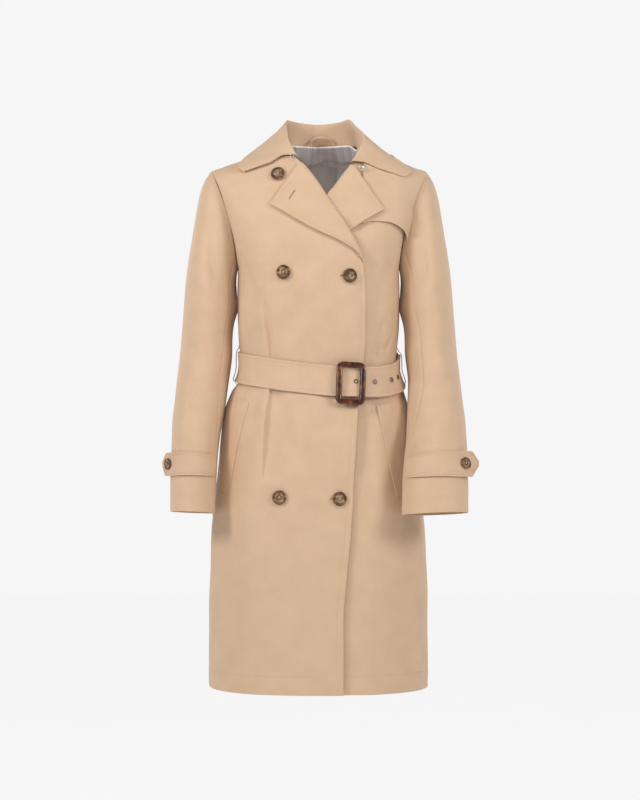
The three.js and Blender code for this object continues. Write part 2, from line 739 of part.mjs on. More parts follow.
// Turns a mesh so that its own +Z points out of the coat, and moves it there
function placeOn(mesh, point, normal, roll = 0) {
  const up = new THREE.Vector3(0, 0, 1);
  const sideways = new THREE.Vector3().crossVectors(up, normal).normalize();
  const upright = new THREE.Vector3().crossVectors(normal, sideways);
  mesh.quaternion.setFromRotationMatrix(new THREE.Matrix4().makeBasis(sideways, upright, normal));
  mesh.rotateZ(roll);
  mesh.position.copy(point);
}

// Buckle: a rounded frame with a flat bar across its back
const BUCKLE = { wide: 50, tall: 73, corner: 9.5, bar: 10, thick: 5.6, lean: 3.7, lift: 14 };
function roundedRing(wide, tall, corner, steps) {
  const shape = new THREE.Shape();
  const x = wide / 2 - corner;
  const y = tall / 2 - corner;
  shape.absarc(x, y, corner, 0, Math.PI / 2);
  shape.absarc(-x, y, corner, Math.PI / 2, Math.PI);
  shape.absarc(-x, -y, corner, Math.PI, Math.PI * 1.5);
  shape.absarc(x, -y, corner, Math.PI * 1.5, Math.PI * 2);
  shape.closePath();
  return shape.getSpacedPoints(steps).slice(0, -1);
}

function buckleFrame() {
  const steps = 36;
  const sides = 8;
  const line = roundedRing(BUCKLE.wide - BUCKLE.bar, BUCKLE.tall - BUCKLE.bar, BUCKLE.corner - 3, steps);
  const points = [];
  line.forEach((place, i) => {
    const ahead = line[(i + 1) % steps].clone().sub(line[(i + steps - 1) % steps]).normalize();
    for (let k = 0; k < sides; k += 1) {
      const angle = (k + 0.5) / sides * Math.PI * 2;
      const across = Math.cos(angle) * BUCKLE.bar / 2 / Math.cos(Math.PI / sides);
      const deep = Math.sin(angle) * BUCKLE.thick / 2 / Math.cos(Math.PI / sides);
      points.push(new THREE.Vector3(place.x + ahead.y * across, place.y - ahead.x * across, deep));
    }
  });
  const faces = [];
  for (let i = 0; i < steps; i += 1) {
    for (let k = 0; k < sides; k += 1) {
      const a = i * sides + k;
      const b = i * sides + (k + 1) % sides;
      const c = ((i + 1) % steps) * sides + (k + 1) % sides;
      const d = ((i + 1) % steps) * sides + k;
      faces.push([a, b, c], [a, c, d]);
    }
  }
  return solid(points, faces);
}

function addBuckle() {
  const around = aroundOf(BUCKLE_X, BELT_LINE[4].z - UNDERARM_Z);
  const rising = beltPoint(around, 1, 0).sub(beltPoint(around, 0, 0));
  const across = beltPoint(around + 0.1, 0.5, 0).sub(beltPoint(around - 0.1, 0.5, 0));
  const normal = across.cross(rising).normalize();
  const point = beltPoint(around, 0.5, 0);
  const lean = THREE.MathUtils.degToRad(BUCKLE.lean);
  const frame = addPiece('buckle_frame', buckleFrame(), 'shell');
  placeOn(frame, point.clone().addScaledVector(normal, BUCKLE.lift), normal, -lean);
  const bar = addPiece('buckle_bar', new THREE.BoxGeometry(6, BUCKLE.tall - 2 * BUCKLE.bar - 1, 2.4), 'shell');
  placeOn(bar, point.clone().addScaledVector(normal, BELT_LIFT + 0.6), normal, -lean);
}

// Round trim: buttons and eyelets as turned profiles
function lathe(profile, segments) {
  const geometry = new THREE.LatheGeometry(profile.map(([x, y]) => new THREE.Vector2(x, y)), segments);
  geometry.rotateX(Math.PI / 2);
  geometry.deleteAttribute('normal');
  geometry.deleteAttribute('uv');
  return geometry;
}

function buttonGeometry(radius, thick) {
  return lathe([
    [0, -thick / 2],
    [radius * 0.8, -thick / 2],
    [radius, 0],
    [radius * 0.9, thick / 2],
    [radius * 0.72, thick * 0.22],
    [0, thick * 0.12],
  ], 18);
}

const FRONT_BUTTONS = [
  { name: 'button_top', x: -68, z: -53, lift: 3.2 },
  { name: 'button_chest_left', x: -58, z: -216, lift: 3.2 },
  { name: 'button_chest_right', x: 52, z: -222, lift: 3.2 },
  { name: 'button_skirt_left', x: -64, z: -592, lift: 3.2 },
  { name: 'button_skirt_right', x: 35, z: -594, lift: 3.2 },
];
const FRONT_BUTTON = { radius: 11.9, thick: 4 };
const CUFF_BUTTON = { radius: 9.8, thick: 3.6, lift: 2.6 };

function addFrontButtons() {
  for (const row of FRONT_BUTTONS) {
    const mesh = addPiece(row.name, buttonGeometry(FRONT_BUTTON.radius, FRONT_BUTTON.thick), 'horn');
    placeOn(mesh, onFront(row.x, row.z, row.lift), frontNormal(row.x, row.z));
  }
}

const EYELETS = [
  { x: 61, raise: 0.9 },
  { x: 91, raise: 0.9 },
  { x: 118, raise: 0.9 },
  { x: 129, raise: 1.6 },
];
function addEyelets() {
  EYELETS.forEach((row, i) => {
    const up = BELT_LINE[4].z - UNDERARM_Z;
    const around = aroundOf(row.x, up);
    const atWindow = 1 - smooth(0.44, 0.7, around);
    const lift = mix(TAIL_LIFT, WINDOW_LIFT, atWindow) + row.raise;
    const geometry = lathe([[2, -0.4], [3.8, -0.4], [3.4, 0.5], [2.4, 0.5], [2, -0.4]], 12);
    const mesh = addPiece(`eyelet_${i + 1}`, geometry, 'dark_metal');
    placeOn(mesh, beltPoint(around, 0.5, lift), bodyNormal(around, up));
  });
}

// Belt loops over the side seams
const LOOP = { half: 5, thick: 1.2 };
const LOOP_LINE = [
  { rise: -36, lift: 2 },
  { rise: -32, lift: 3.4 },
  { rise: -27.5, lift: 10.2 },
  { rise: 0, lift: 11 },
  { rise: 27, lift: 9.6 },
  { rise: 32, lift: 3.4 },
  { rise: 36, lift: 2 },
];
function beltLoop(side) {
  const beltZ = column(BELT_LINE, 'around', 'z');
  const outer = LOOP_LINE.map((row) => {
    const z = beltZ(side) + row.rise;
    return [-1, 0, 1].map((across) => {
      const around = side * (1 + side * across * LOOP.half / QUARTER);
      return plainPoint(around, z - UNDERARM_Z).addScaledVector(bodyNormal(side, z - UNDERARM_Z), row.lift);
    });
  });
  return wall(outer, LOOP.thick);
}

// Slanted pocket welts, placed around the body by their front edge
const POCKETS = [
  { name: 'pocket_left', side: -1, top: -436, bottom: -590, topX: 117, bottomX: 156 },
  { name: 'pocket_right', side: 1, top: -441, bottom: -592, topX: 98, bottomX: 131 },
];
const WELT_WIDE = 30;
function pocketWelt(row) {
  const outer = grid(6, 3, (low, across) => {
    const z = mix(row.bottom, row.top, low);
    const x = mix(row.bottomX, row.topX, low);
    const up = z - UNDERARM_Z;
    const inner = aroundOf(x, up);
    const around = row.side * (inner + WELT_WIDE / QUARTER * (row.side > 0 ? across : 1 - across));
    return bodyPoint(around, up + (row.side > 0 ? across : 1 - across) * 7, 2);
  });
  return wall(outer, TRIM);
}

// Sleeves
function sleeveRing(rows, side) {
  const table = [ARMHOLE_RING, ...SLEEVE_TOP, ...rows].map((row, i, all) => ({ ...row, along: i / (all.length - 1) }));
  const names = ['outX', 'outZ', 'inX', 'inZ', 'y', 'deep', 'rise'];
  const curves = Object.fromEntries(names.map((name) => [name, column(table, 'along', name)]));
  return (along, angle) => {
    const at = Object.fromEntries(names.map((name) => [name, curves[name](along)]));
    const cosine = Math.cos(angle);
    const sine = Math.sin(angle);
    const bow = ARMHOLE_BOW * sine * sine * (1 - smooth(0, 0.2, along));
    const x = (at.outX + at.inX) / 2 + (at.outX - at.inX) / 2 * cosine - bow;
    const z = (at.outZ + at.inZ) / 2 + (at.outZ - at.inZ) / 2 * cosine + at.rise * sine;
    const gap = 1.1 * (1 - smooth(0, 0.05, along));
    return new THREE.Vector3(side * (x + gap), at.y - at.deep * sine, z - gap * 0.3);
  };
}

function sleeveFold(along, angle) {
  const degrees = THREE.MathUtils.radToDeg(angle) % 360;
  return SLEEVE_FOLDS.reduce((sum, fold) => {
    const off = ((degrees - fold.around + 540) % 360 - 180) / fold.wide;
    const far = (along - fold.along) / fold.long;
    return sum + fold.depth * Math.exp(-off * off - far * far);
  }, 0);
}

function sleevePoint(ring, along, angle, side, lift) {
  const step = 0.01;
  const around = ring(along, angle + step).sub(ring(along, angle - step));
  const down = ring(Math.min(along + step, 1), angle).sub(ring(Math.max(along - step, 0), angle));
  const normal = around.cross(down).normalize().multiplyScalar(side);
  return ring(along, angle).addScaledVector(normal, lift + sleeveFold(along, angle));
}

function frontSeam(along) {
  return THREE.MathUtils.degToRad(column(FRONT_SEAM, 'along', 'angle')(along));
}

function sleevePiece(rows, side, isTop) {
  const ring = sleeveRing(rows, side);
  const trimmed = SEAM_GAP / 2 / SLEEVE_RADIUS;
  const columns = isTop ? TOP_SLEEVE_COLUMNS : UNDER_SLEEVE_COLUMNS;
  const face = (lift) => grid(SLEEVE_ROWS, columns, (along, around) => {
    const seam = frontSeam(along);
    const from = isTop ? BACK_SEAM - 2 * Math.PI : seam;
    const to = isTop ? seam : BACK_SEAM;
    return sleevePoint(ring, along, mix(from + trimmed, to - trimmed, around), side, lift);
  });
  return gridSolid(face(0), face(-CLOTH));
}

// Cuff straps: round the front of the sleeve from its seam, then straight off it to a pointed tip.
// leave is the angle where the tab leaves the sleeve; tab and button are lengths from there.
const STRAPS = [
  { name: 'left', side: -1, rows: SLEEVE_LEFT, along: 0.861, leave: 45, wrap: 88, tab: 44, button: 19 },
  { name: 'right', side: 1, rows: SLEEVE_RIGHT, along: 0.856, leave: 60, wrap: 87, tab: 51, button: 21.5 },
];
const STRAP = { half: 0.04, start: 2, end: 3.4, point: 14, tip: 0.2, bend: 0.0022 };
function strapPoint(row, length, high, lift) {
  const ring = sleeveRing(row.rows, row.side);
  const leave = THREE.MathUtils.degToRad(row.leave);
  const toTip = row.wrap + row.tab - length;
  const half = STRAP.half * mix(STRAP.tip, 1, Math.min(1, toTip / STRAP.point));
  const along = row.along + mix(-half, half, high);
  const wrapped = Math.min(length / row.wrap, 1);
  const angle = mix(frontSeam(row.along), leave, wrapped);
  const rise = mix(STRAP.start, STRAP.end, smooth(0, 0.4, wrapped)) + lift;
  const point = sleevePoint(ring, along, angle, row.side, rise);
  const past = Math.max(0, length - row.wrap);
  const step = 0.05;
  const ahead = ring(along, leave - step).sub(ring(along, leave + step)).normalize();
  const out = new THREE.Vector3().crossVectors(ahead, new THREE.Vector3(0, 0, row.side)).normalize();
  return point.addScaledVector(ahead, past).addScaledVector(out, -STRAP.bend * past * past);
}

function strapOut(row, length) {
  const across = strapPoint(row, length + 1, 0.5, 0).sub(strapPoint(row, length - 1, 0.5, 0));
  const rising = strapPoint(row, length, 0.4, 0).sub(strapPoint(row, length, 0.6, 0));
  return across.cross(rising).normalize().multiplyScalar(row.side);
}

function cuffStrap(row) {
  const outer = grid(4, 16, (high, across) => strapPoint(row, across * (row.wrap + row.tab), high, 0));
  return wall(outer, TRIM, -row.side);
}

function addCuffButton(row) {
  const length = row.wrap + row.button;
  const normal = strapOut(row, length);
  const point = strapPoint(row, length, 0.5, 0).addScaledVector(normal, CUFF_BUTTON.lift);
  const mesh = addPiece(`cuff_button_${row.name}`, buttonGeometry(CUFF_BUTTON.radius, CUFF_BUTTON.thick), 'horn');
  placeOn(mesh, point, normal);
}

// Hanger loop inside the back neck
function hangerLoop() {
  const feet = { left: -14, right: 26, z: 12, y: 46 };
  const steps = 10;
  const outer = Array.from({ length: steps + 1 }, (unused, i) => {
    const angle = Math.PI * (1 - i / steps);
    const x = mix(feet.left, feet.right, (1 + Math.cos(angle)) / 2);
    const z = feet.z + 19 * Math.sin(angle) ** 0.7;
    return [-2, 2].map((across) => new THREE.Vector3(x, feet.y - 2 * Math.sin(angle), z + across));
  });
  return wall(outer, TRIM, 1);
}

// Hook on the left notch and eye on the right one
function addHookAndEye() {
  const hook = addPiece('neck_hook', new THREE.TorusGeometry(3.2, 0.7, 6, 12), 'steel');
  placeOn(hook, onFront(-44, -21, 7.5), frontNormal(-44, -21));
  const eye = addPiece('neck_eye', new THREE.TorusGeometry(3.2, 0.7, 6, 12), 'steel');
  placeOn(eye, onFront(73, -44, 9), frontNormal(73, -44));
  for (const mesh of [hook, eye]) {
    mesh.geometry.deleteAttribute('normal');
    mesh.geometry.deleteAttribute('uv');
  }
}

addPiece('front_over', frontPanel(-1), 'cloth');
addPiece('front_under', frontPanel(1), 'cloth');
addPiece('back', backPanel(), 'cloth');
addPiece('back_lining', backLining(), 'lining');
addPiece('neck_label', label(), 'label');
addPiece('hanger_loop', hangerLoop(), 'cloth');
addPiece('collar', collar(), 'cloth');
addPiece('lapel_left', lapel(leftFold, LEFT_OUTER, -1), 'cloth');
addPiece('lapel_right', lapel(rightFold, RIGHT_OUTER, 1), 'cloth');
addPiece('storm_flap', stormFlap(), 'cloth');
for (const [name, side, rows] of [['left', -1, SLEEVE_LEFT], ['right', 1, SLEEVE_RIGHT]]) {
  addPiece(`sleeve_top_${name}`, sleevePiece(rows, side, true), 'cloth');
  addPiece(`sleeve_under_${name}`, sleevePiece(rows, side, false), 'cloth');
}
for (const row of STRAPS) {
  addPiece(`cuff_strap_${row.name}`, cuffStrap(row), 'cloth');
  addCuffButton(row);
}
for (const row of POCKETS) {
  addPiece(row.name, pocketWelt(row), 'cloth');
}
addPiece('belt', belt(), 'cloth');
addBuckle();
addEyelets();
addPiece('belt_loop_left', beltLoop(-1), 'cloth');
addPiece('belt_loop_right', beltLoop(1), 'cloth');
addFrontButtons();
addHookAndEye();

export default coat;
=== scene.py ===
"""Belted double-breasted trench coat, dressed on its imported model.

Sizes are millimetres, +Z up. The front faces -Y, and "left" and "right" are the viewer's.
The origin is the middle of the neck opening, level with the tops of the shoulder seams.
"""
import math

import bpy
import numpy as np
from mathutils import Matrix, Vector


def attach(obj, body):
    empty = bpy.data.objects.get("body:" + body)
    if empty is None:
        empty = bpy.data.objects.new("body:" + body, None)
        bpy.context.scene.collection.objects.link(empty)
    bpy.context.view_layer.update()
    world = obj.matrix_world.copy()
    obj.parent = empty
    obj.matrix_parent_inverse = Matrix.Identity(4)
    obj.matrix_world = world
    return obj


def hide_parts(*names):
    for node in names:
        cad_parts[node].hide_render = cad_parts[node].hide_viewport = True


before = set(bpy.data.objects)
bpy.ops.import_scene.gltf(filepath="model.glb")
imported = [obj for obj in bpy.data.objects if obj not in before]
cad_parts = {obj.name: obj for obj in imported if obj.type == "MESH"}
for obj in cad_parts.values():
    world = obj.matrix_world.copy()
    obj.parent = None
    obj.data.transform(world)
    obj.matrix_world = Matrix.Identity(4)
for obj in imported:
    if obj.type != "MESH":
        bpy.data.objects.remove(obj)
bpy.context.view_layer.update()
MM = 0.001
BODY_NAME = "root"


def named_rows(columns, *rows):
    """Rows of a table with named columns; a row may stop early."""
    names = columns.split()
    return [dict(zip(names, row)) for row in rows]


# Cloth walls
CLOTH = 1.5
LINING = 0.8
TRIM = 1.2
SEAM_GAP = 0.45

# Body: the underarm level, how far the armhole rises and the hem drops from it
UNDERARM_Z = -205
ARMHOLE_RISE = 168
HEM_DROP = -714
NECK_CENTRE_RISE = 232
SIDE_Y = 2

# Armhole loop: shoulder point to underarm, half its front-to-back size, and its inward bow
SHOULDER_HALF = 184
UNDERARM_HALF = 138
ARMHOLE_DEEP = 46
ARMHOLE_BOW = 8
SHOULDER_TURN = 0.86
NECK_HALF = 68

# Body sections below the underarm: z, half width, front and back depth, squareness
BODY = named_rows("z wide front back square",
    (-930, 187, 136, 132, 2.35),
    (-800, 184, 133, 128, 2.4),
    (-716, 181, 131, 125, 2.45),
    (-628, 176, 128, 121, 2.5),
    (-560, 168, 124, 116, 2.5),
    (-500, 162, 119, 110, 2.5),
    (-450, 152, 112, 100, 2.6),
    (-415, 141, 100, 86, 2.7),
    (-380, 133, 95, 80, 2.8),
    (-350, 134, 96, 82, 2.7),
    (-310, 137, 100, 90, 2.6),
    (-260, 139, 104, 97, 2.5),
    (-205, 138, 106, 100, 2.4))

# Upper body: depth on the centre line at each share of the armhole rise
CHEST = named_rows("rise front back",
    (0, 106, 100),
    (0.3, 98, 99),
    (0.52, 87, 92),
    (0.75, 68, 79),
    (0.88, 53, 67),
    (1, 40, 54))

# Front edge of the lapped side: height from the underarm level, and x
OVER_EDGE = named_rows("up x",
    (-730, 41),
    (-596, 41),
    (-514, 47),
    (-437, 54),
    (-326, 60),
    (-232, 66),
    (-162, 75),
    (-106, 78),
    (-60, 78),
    (0, 75.5),
    (45, 50),
    (87, 11),
    (128, -26),
    (150, -48),
    (168, -NECK_HALF))

# Front edge of the side beneath it
UNDER_EDGE = named_rows("up x",
    (-730, -60),
    (-60, -64),
    (0, -68),
    (45, -27),
    (87, 17),
    (117, 43),
    (147, 64),
    (168, NECK_HALF))
# The upper body is eased into the lower one over this height, except along the armhole
CHEST_EASE = {"spread": 30, "reach": 46, "from": 0.66, "to": 0.96}
UNDER_SHIFT = 5.2
UNDER_FADE = {"from": 14, "to": 46}
# Cloth in a quarter turn of the body
QUARTER = 235
# Steps with which a height is searched
HALVINGS = 40
COLLAR_HALVINGS = 26


def column(table, key, value):
    """A smooth curve through one column of a table, read by another."""
    rows = sorted(table, key=lambda row: row[key])
    xs = np.array([row[key] for row in rows], float)
    ys = np.array([row[value] for row in rows], float)
    steps = np.diff(ys) / np.diff(xs)
    slope = np.zeros(len(xs))
    for i in range(1, len(xs) - 1):
        before, after = steps[i - 1], steps[i]
        if before * after > 0:
            slope[i] = 2 * before * after / (before + after)

    def read(x):
        at = np.clip(np.asarray(x, float), xs[0], xs[-1])
        i = np.clip(np.searchsorted(xs, at, side="left") - 1, 0, len(xs) - 2)
        span = xs[i + 1] - xs[i]
        s = (at - xs[i]) / span
        ends = ys[i] * (1 + 2 * s) * (1 - s) ** 2 + ys[i + 1] * s * s * (3 - 2 * s)
        bend = slope[i] * s * (1 - s) ** 2 - slope[i + 1] * s * s * (1 - s)
        return ends + bend * span

    return read


def smooth(low, high, value):
    share = np.clip((np.asarray(value, float) - low) / (high - low), 0, 1)
    return share * share * (3 - 2 * share)


def paired(first, second):
    """Both as arrays of numbers, of one shape."""
    return np.broadcast_arrays(np.asarray(first, float), np.asarray(second, float))


def mix(a, b, share):
    return a + (b - a) * share


def bell(offset):
    """1 at no offset, falling off smoothly to both sides."""
    return np.exp(-offset ** 2)


def ridge(distance, shape):
    """A soft ridge at some distance from an edge."""
    return shape["high"] * bell((distance - shape["at"]) / shape["wide"])


def length_along(line):
    """Length of a line up to each of its points."""
    steps = np.linalg.norm(np.diff(line, axis=0), axis=-1)
    return np.concatenate([[0], np.cumsum(steps)])


def value_at(at, along, line):
    """Values of a line, read at a length along it."""
    return [np.interp(at, along, line[:, k]) for k in range(3)]


def unit(vectors):
    return vectors / np.maximum(np.linalg.norm(vectors, axis=-1, keepdims=True), 1e-9)


wide_at = column(BODY, "z", "wide")
front_at = column(BODY, "z", "front")
back_at = column(BODY, "z", "back")
square_at = column(BODY, "z", "square")
chest_front = column(CHEST, "rise", "front")
chest_back = column(CHEST, "rise", "back")
over_edge = column(OVER_EDGE, "up", "x")
under_edge = column(UNDER_EDGE, "up", "x")


def section(up):
    """Sizes of the body's section at a height, each an array like up."""
    up = np.asarray(up, float)
    z = UNDERARM_Z + np.minimum(up, 0)
    rise = np.clip(up / ARMHOLE_RISE, 0, 1)
    sine = np.sqrt(np.maximum(0, 1 - (2 * rise - 1) ** 2))
    past = np.maximum(0, rise - SHOULDER_TURN) / (1 - SHOULDER_TURN)
    turn = np.sqrt(np.maximum(0, 1 - past ** 2))
    low = up <= 0

    def pick(below, above):
        return np.where(low, below, above)

    return {
        "wide": pick(wide_at(z), mix(UNDERARM_HALF, SHOULDER_HALF, rise) - ARMHOLE_BOW * sine ** 2),
        "side_y": pick(SIDE_Y, SIDE_Y - ARMHOLE_DEEP * sine),
        "back_side_y": pick(SIDE_Y, SIDE_Y + ARMHOLE_DEEP * sine),
        "side_z": UNDERARM_Z + up,
        "centre_z": pick(UNDERARM_Z + up, UNDERARM_Z + NECK_CENTRE_RISE * rise),
        "front": pick(-front_at(z), SIDE_Y - (chest_front(rise) + SIDE_Y) * turn),
        "back": pick(back_at(z), SIDE_Y + (chest_back(rise) - SIDE_Y) * turn),
        "square": pick(square_at(z), 2.4),
        "bow": pick(2, 2 - rise),
    }


def bare_point(around, up):
    """Point of the body: place around it in quarter turns, height from the underarm level."""
    around, up = paired(around, up)
    sizes = section(up)
    turn = np.abs(around)
    is_back = turn > 1
    angle = np.where(is_back, 2 - turn, turn) * math.pi / 2
    cosine = np.clip(np.cos(angle), 1e-12, 1)
    sine = np.clip(np.sin(angle), 0, 1)
    scale = (cosine ** sizes["square"] + sine ** sizes["square"]) ** (-1 / sizes["square"])
    out = sine * scale
    deep = cosine * scale
    side_y = np.where(is_back, sizes["back_side_y"], sizes["side_y"])
    centre_y = np.where(is_back, sizes["back"], sizes["front"])
    x = np.sign(around) * sizes["wide"] * out
    y = side_y + (centre_y - side_y) * deep
    z = sizes["centre_z"] + (sizes["side_z"] - sizes["centre_z"]) * out ** sizes["bow"]
    return np.stack([x, y, z], -1)


def plain_point(around, up):
    """The same, with the change at the underarm level eased."""
    around, up = paired(around, up)
    inside = 1 - smooth(CHEST_EASE["from"], CHEST_EASE["to"], np.abs(around))
    spread = CHEST_EASE["spread"] * bell(up / CHEST_EASE["reach"]) * inside
    point = bare_point(around, up)
    sides = [bare_point(around, up + share * spread)[..., 1] for share in (-1, -0.5, 0.5, 1)]
    point[..., 1] = (point[..., 1] + sum(sides)) / 5
    return point


def body_normal(around, up):
    step_around = 0.004
    step_up = 1
    around, up = paired(around, up)
    low_up = np.minimum(up, ARMHOLE_RISE - 2 * step_up) - step_up
    facing = np.where(around < 0, -1, 1)
    middle = facing * np.minimum(np.abs(around), 2 - step_around)
    across = plain_point(middle + step_around, up) - plain_point(middle - step_around, up)
    rising = plain_point(middle, low_up + 2 * step_up) - plain_point(middle, low_up)
    return unit(np.cross(across, rising))


def around_of(x, up, is_back=False):
    """Place around the body, in quarter turns, of an x on a section."""
    sizes = section(up)
    out = np.minimum(np.abs(x) / sizes["wide"], 1)
    deep = (1 - out ** sizes["square"]) ** (1 / sizes["square"])
    share = np.arctan2(out, deep) / (math.pi / 2)
    return np.where(np.asarray(x) < 0, -1, 1) * np.where(is_back, 2 - share, share)


def up_of(x, z):
    """Height from the underarm level at which the surface has this x and z."""
    x, z = paired(x, z)
    low = np.full(x.shape, HEM_DROP - 20.0)
    high = np.full(x.shape, float(ARMHOLE_RISE))
    for _ in range(HALVINGS):
        up = (low + high) / 2
        sizes = section(up)
        out = np.minimum(np.abs(x) / sizes["wide"], 1)
        height = sizes["centre_z"] + (sizes["side_z"] - sizes["centre_z"]) * out ** sizes["bow"]
        low = np.where(height < z, up, low)
        high = np.where(height < z, high, up)
    return (low + high) / 2


def under_shift(x, up):
    """How far the under side sinks below the lapped side."""
    past = x - over_edge(up)
    return UNDER_SHIFT * (1 - smooth(UNDER_FADE["from"], UNDER_FADE["to"], past))


# Large folds of the body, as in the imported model. Place around it is in quarter turns.
FOLDS = named_rows("from to low high width depth",
    (-0.28, -0.24, -340, -215, 20, -4),
    (-0.42, -0.4, -560, -225, 26, 5),
    (-0.2, -0.1, -460, -225, 22, 3.5),
    (-0.62, -0.66, -640, -230, 30, -5),
    (-0.34, -0.3, -160, -40, 20, -4),
    (-0.72, -0.66, -165, -30, 24, 4),
    (0.62, 0.5, -165, -40, 26, 4),
    (0.56, 0.52, -420, -215, 22, -4),
    (0.44, 0.42, -620, -300, 30, 4),
    (0.9, 0.84, -700, -330, 34, 5),
    (-0.92, -0.86, -714, -330, 34, 5),
    (1.3, 1.36, -700, -220, 34, -6),
    (-1.3, -1.36, -700, -220, 34, -6),
    (1.62, 1.66, -640, -225, 32, 6),
    (-1.62, -1.66, -640, -225, 32, 6),
    (1.45, 1.55, -165, 20, 28, 5),
    (-1.45, -1.55, -165, 20, 28, 5))
CINCH = {"up": -178, "reach": 44, "hold": 0.9}

# Finer creases of the front, from one x and z to another. A trough sinks by its depth;
# a step is a fold of the cloth over itself, raised on its left and sunk on its right.
FRONT_CREASES = named_rows("x z to_x to_z width trough step crisp",
    (-94, -262, -79, -400, 12, 0.6, 4, 0.9),
    (-78, -372, -91, -566, 16, 0.8, 4.4, 1.1),
    (-66, -398, -64, -480, 11, 3.4, 0),
    (-56, -425, -38, -545, 10, 2.6, 0),
    (-104, -300, -98, -356, 5, 1.2, -0.6),
    (-124, -290, -118, -350, 6, 1.1, 0.5),
    (62, -165, 22, -205, 9, 1.5, 0),
    (44, -170, -6, -196, 8, 1.2, 0),
    (66, -236, 30, -262, 8, -1, 0),
    (108, -292, 94, -372, 6, 3, 1.6),
    (126, -312, 108, -362, 5, 2.4, 0),
    (118, -334, 84, -360, 4, 2, 0),
    (84, -424, 90, -470, 7, 1.6, 0),
    (72, -432, 70, -540, 10, 1.2, 0.6),
    (-120, -404, -132, -440, 5, 1.4, 0),
    (-104, -408, -112, -470, 7, 1.2, 0.5),
    (-20, -420, -14, -500, 10, 1, 0),
    (128, -190, 96, -250, 10, 1.8, 0),
    (-128, -190, -104, -262, 10, 1.6, 0),
    (-20, -640, 20, -820, 26, 1.6, 0),
    (-150, -640, -140, -900, 22, 2.2, 0),
    (120, -640, 112, -900, 24, 1.8, 0))

# Finer creases of the sides and back, by place around and height from the underarm level
BACK_CREASES = named_rows("around up to_around to_up width trough step",
    (1.22, -60, 1.3, -168, 7, 1.8, 0.8),
    (-1.2, -50, -1.26, -168, 7, 1.6, -0.8),
    (1.72, -96, 1.68, -172, 7, 1.6, 0),
    (-1.76, -84, -1.7, -172, 7, 1.7, 0),
    (1.95, -100, 1.92, -170, 6, 1.3, 0),
    (1.12, -206, 1.2, -330, 8, 2, 0),
    (-1.14, -206, -1.18, -360, 8, 1.8, 0),
    (1.5, -206, 1.48, -300, 8, 1.6, 0.6),
    (-1.52, -206, -1.5, -330, 8, 1.6, -0.6),
    (1.84, -206, 1.86, -290, 7, 1.4, 0),
    (-1.86, -206, -1.84, -310, 7, 1.5, 0),
    (1.34, 60, 1.66, -20, 16, 1.6, 0),
    (-1.34, 64, -1.64, -14, 16, 1.5, 0),
    (1.8, -420, 1.78, -700, 30, 2.4, 0),
    (-1.8, -400, -1.84, -700, 30, 2.2, 0))

# Slow unevenness of the cloth: waves per metre across and up, phase, and height
BODY_WAVES = named_rows("across up phase high",
    (7, 3, 0.4, 0.5),
    (-5, 9, 2.1, 0.35),
    (13, 6, 4.4, 0.25),
    (17, -12, 1.3, 0.16))


def crease_row(row):
    """A front crease given by x and z, as places across the cloth and up it."""
    if "around" in row:
        ends = [(row["around"], row["up"]), (row["to_around"], row["to_up"])]
    else:
        ends = []
        for x, z in [(row["x"], row["z"]), (row["to_x"], row["to_z"])]:
            up = float(up_of(x, z))
            ends.append((float(around_of(x, up)), up))
    start, end = [np.array([around * QUARTER, up]) for around, up in ends]
    sizes = {key: row.get(key, 0) for key in ("width", "trough", "step", "crisp")}
    return {"start": start, "end": end, **sizes}


BODY_CREASES = [crease_row(row) for row in FRONT_CREASES + BACK_CREASES]


def crease_depth(rows, across, up):
    """Sum of the creases at places given in millimetres across the cloth and up it."""
    depth = np.zeros(np.broadcast(across, up).shape)
    for row in rows:
        line = row["end"] - row["start"]
        length = np.hypot(*line)
        along = ((across - row["start"][0]) * line[0] + (up - row["start"][1]) * line[1]) / length ** 2
        aside = ((across - row["start"][0]) * -line[1] + (up - row["start"][1]) * line[0]) / length
        aside = aside * (-1 if line[1] < 0 else 1) / row["width"]
        fade = np.sin(math.pi * np.clip(along, 0, 1)) ** 0.7
        near = bell(aside) * fade
        crisp = row.get("crisp", 0)
        side = np.tanh(aside * row["width"] / crisp) if crisp else aside * 1.6
        depth += near * (row["step"] * side - row["trough"])
    return depth


def waves(rows, across, up):
    height = np.zeros(np.broadcast(across, up).shape)
    for row in rows:
        turn = (across * row["across"] + up * row["up"]) * MM
        height += row["high"] * np.sin(2 * math.pi * turn + row["phase"])
    return height


def one_turn(around):
    """A place around, counted on past the back seam, as the same place from -2 to 2."""
    return np.where(around > 2, around - 4, around)


def fold_depth(around, up):
    around, up = paired(around, up)
    depth = np.zeros(around.shape)
    for fold in FOLDS:
        share = (up - fold["low"]) / (fold["high"] - fold["low"])
        inside = np.clip(share, 0, 1)
        off = (around - mix(fold["from"], fold["to"], share)) * QUARTER / fold["width"]
        depth += fold["depth"] * bell(off) * np.sin(math.pi * inside) ** 0.8
    return depth * (1 - CINCH["hold"] * bell((up - CINCH["up"]) / CINCH["reach"]))


# Swell of the hips just below the belt, where the cloth pushes against the sleeves
HIP_SWELL = named_rows("up left right",
    (-480, 0, 0),
    (-400, 3, 1),
    (-320, 6, 2),
    (-275, 8, 3),
    (-238, 9.5, 5),
    (-214, 8.5, 5),
    (-194, 1.2, 1),
    (-180, 0, 0))
HIP_WIDE = 80
hip_left = column(HIP_SWELL, "up", "left")
hip_right = column(HIP_SWELL, "up", "right")


def hip_swell(around, up):
    near = bell((np.abs(around) - 1) * QUARTER / HIP_WIDE)
    return np.where(around < 0, hip_left(up), hip_right(up)) * near


def fine_depth(around, up):
    across = around * QUARTER
    held = 1 - CINCH["hold"] * bell((up - CINCH["up"]) / (CINCH["reach"] * 0.5))
    creases = crease_depth(BODY_CREASES, across, up) + waves(BODY_WAVES, across, up)
    return creases * held + hip_swell(around, up)


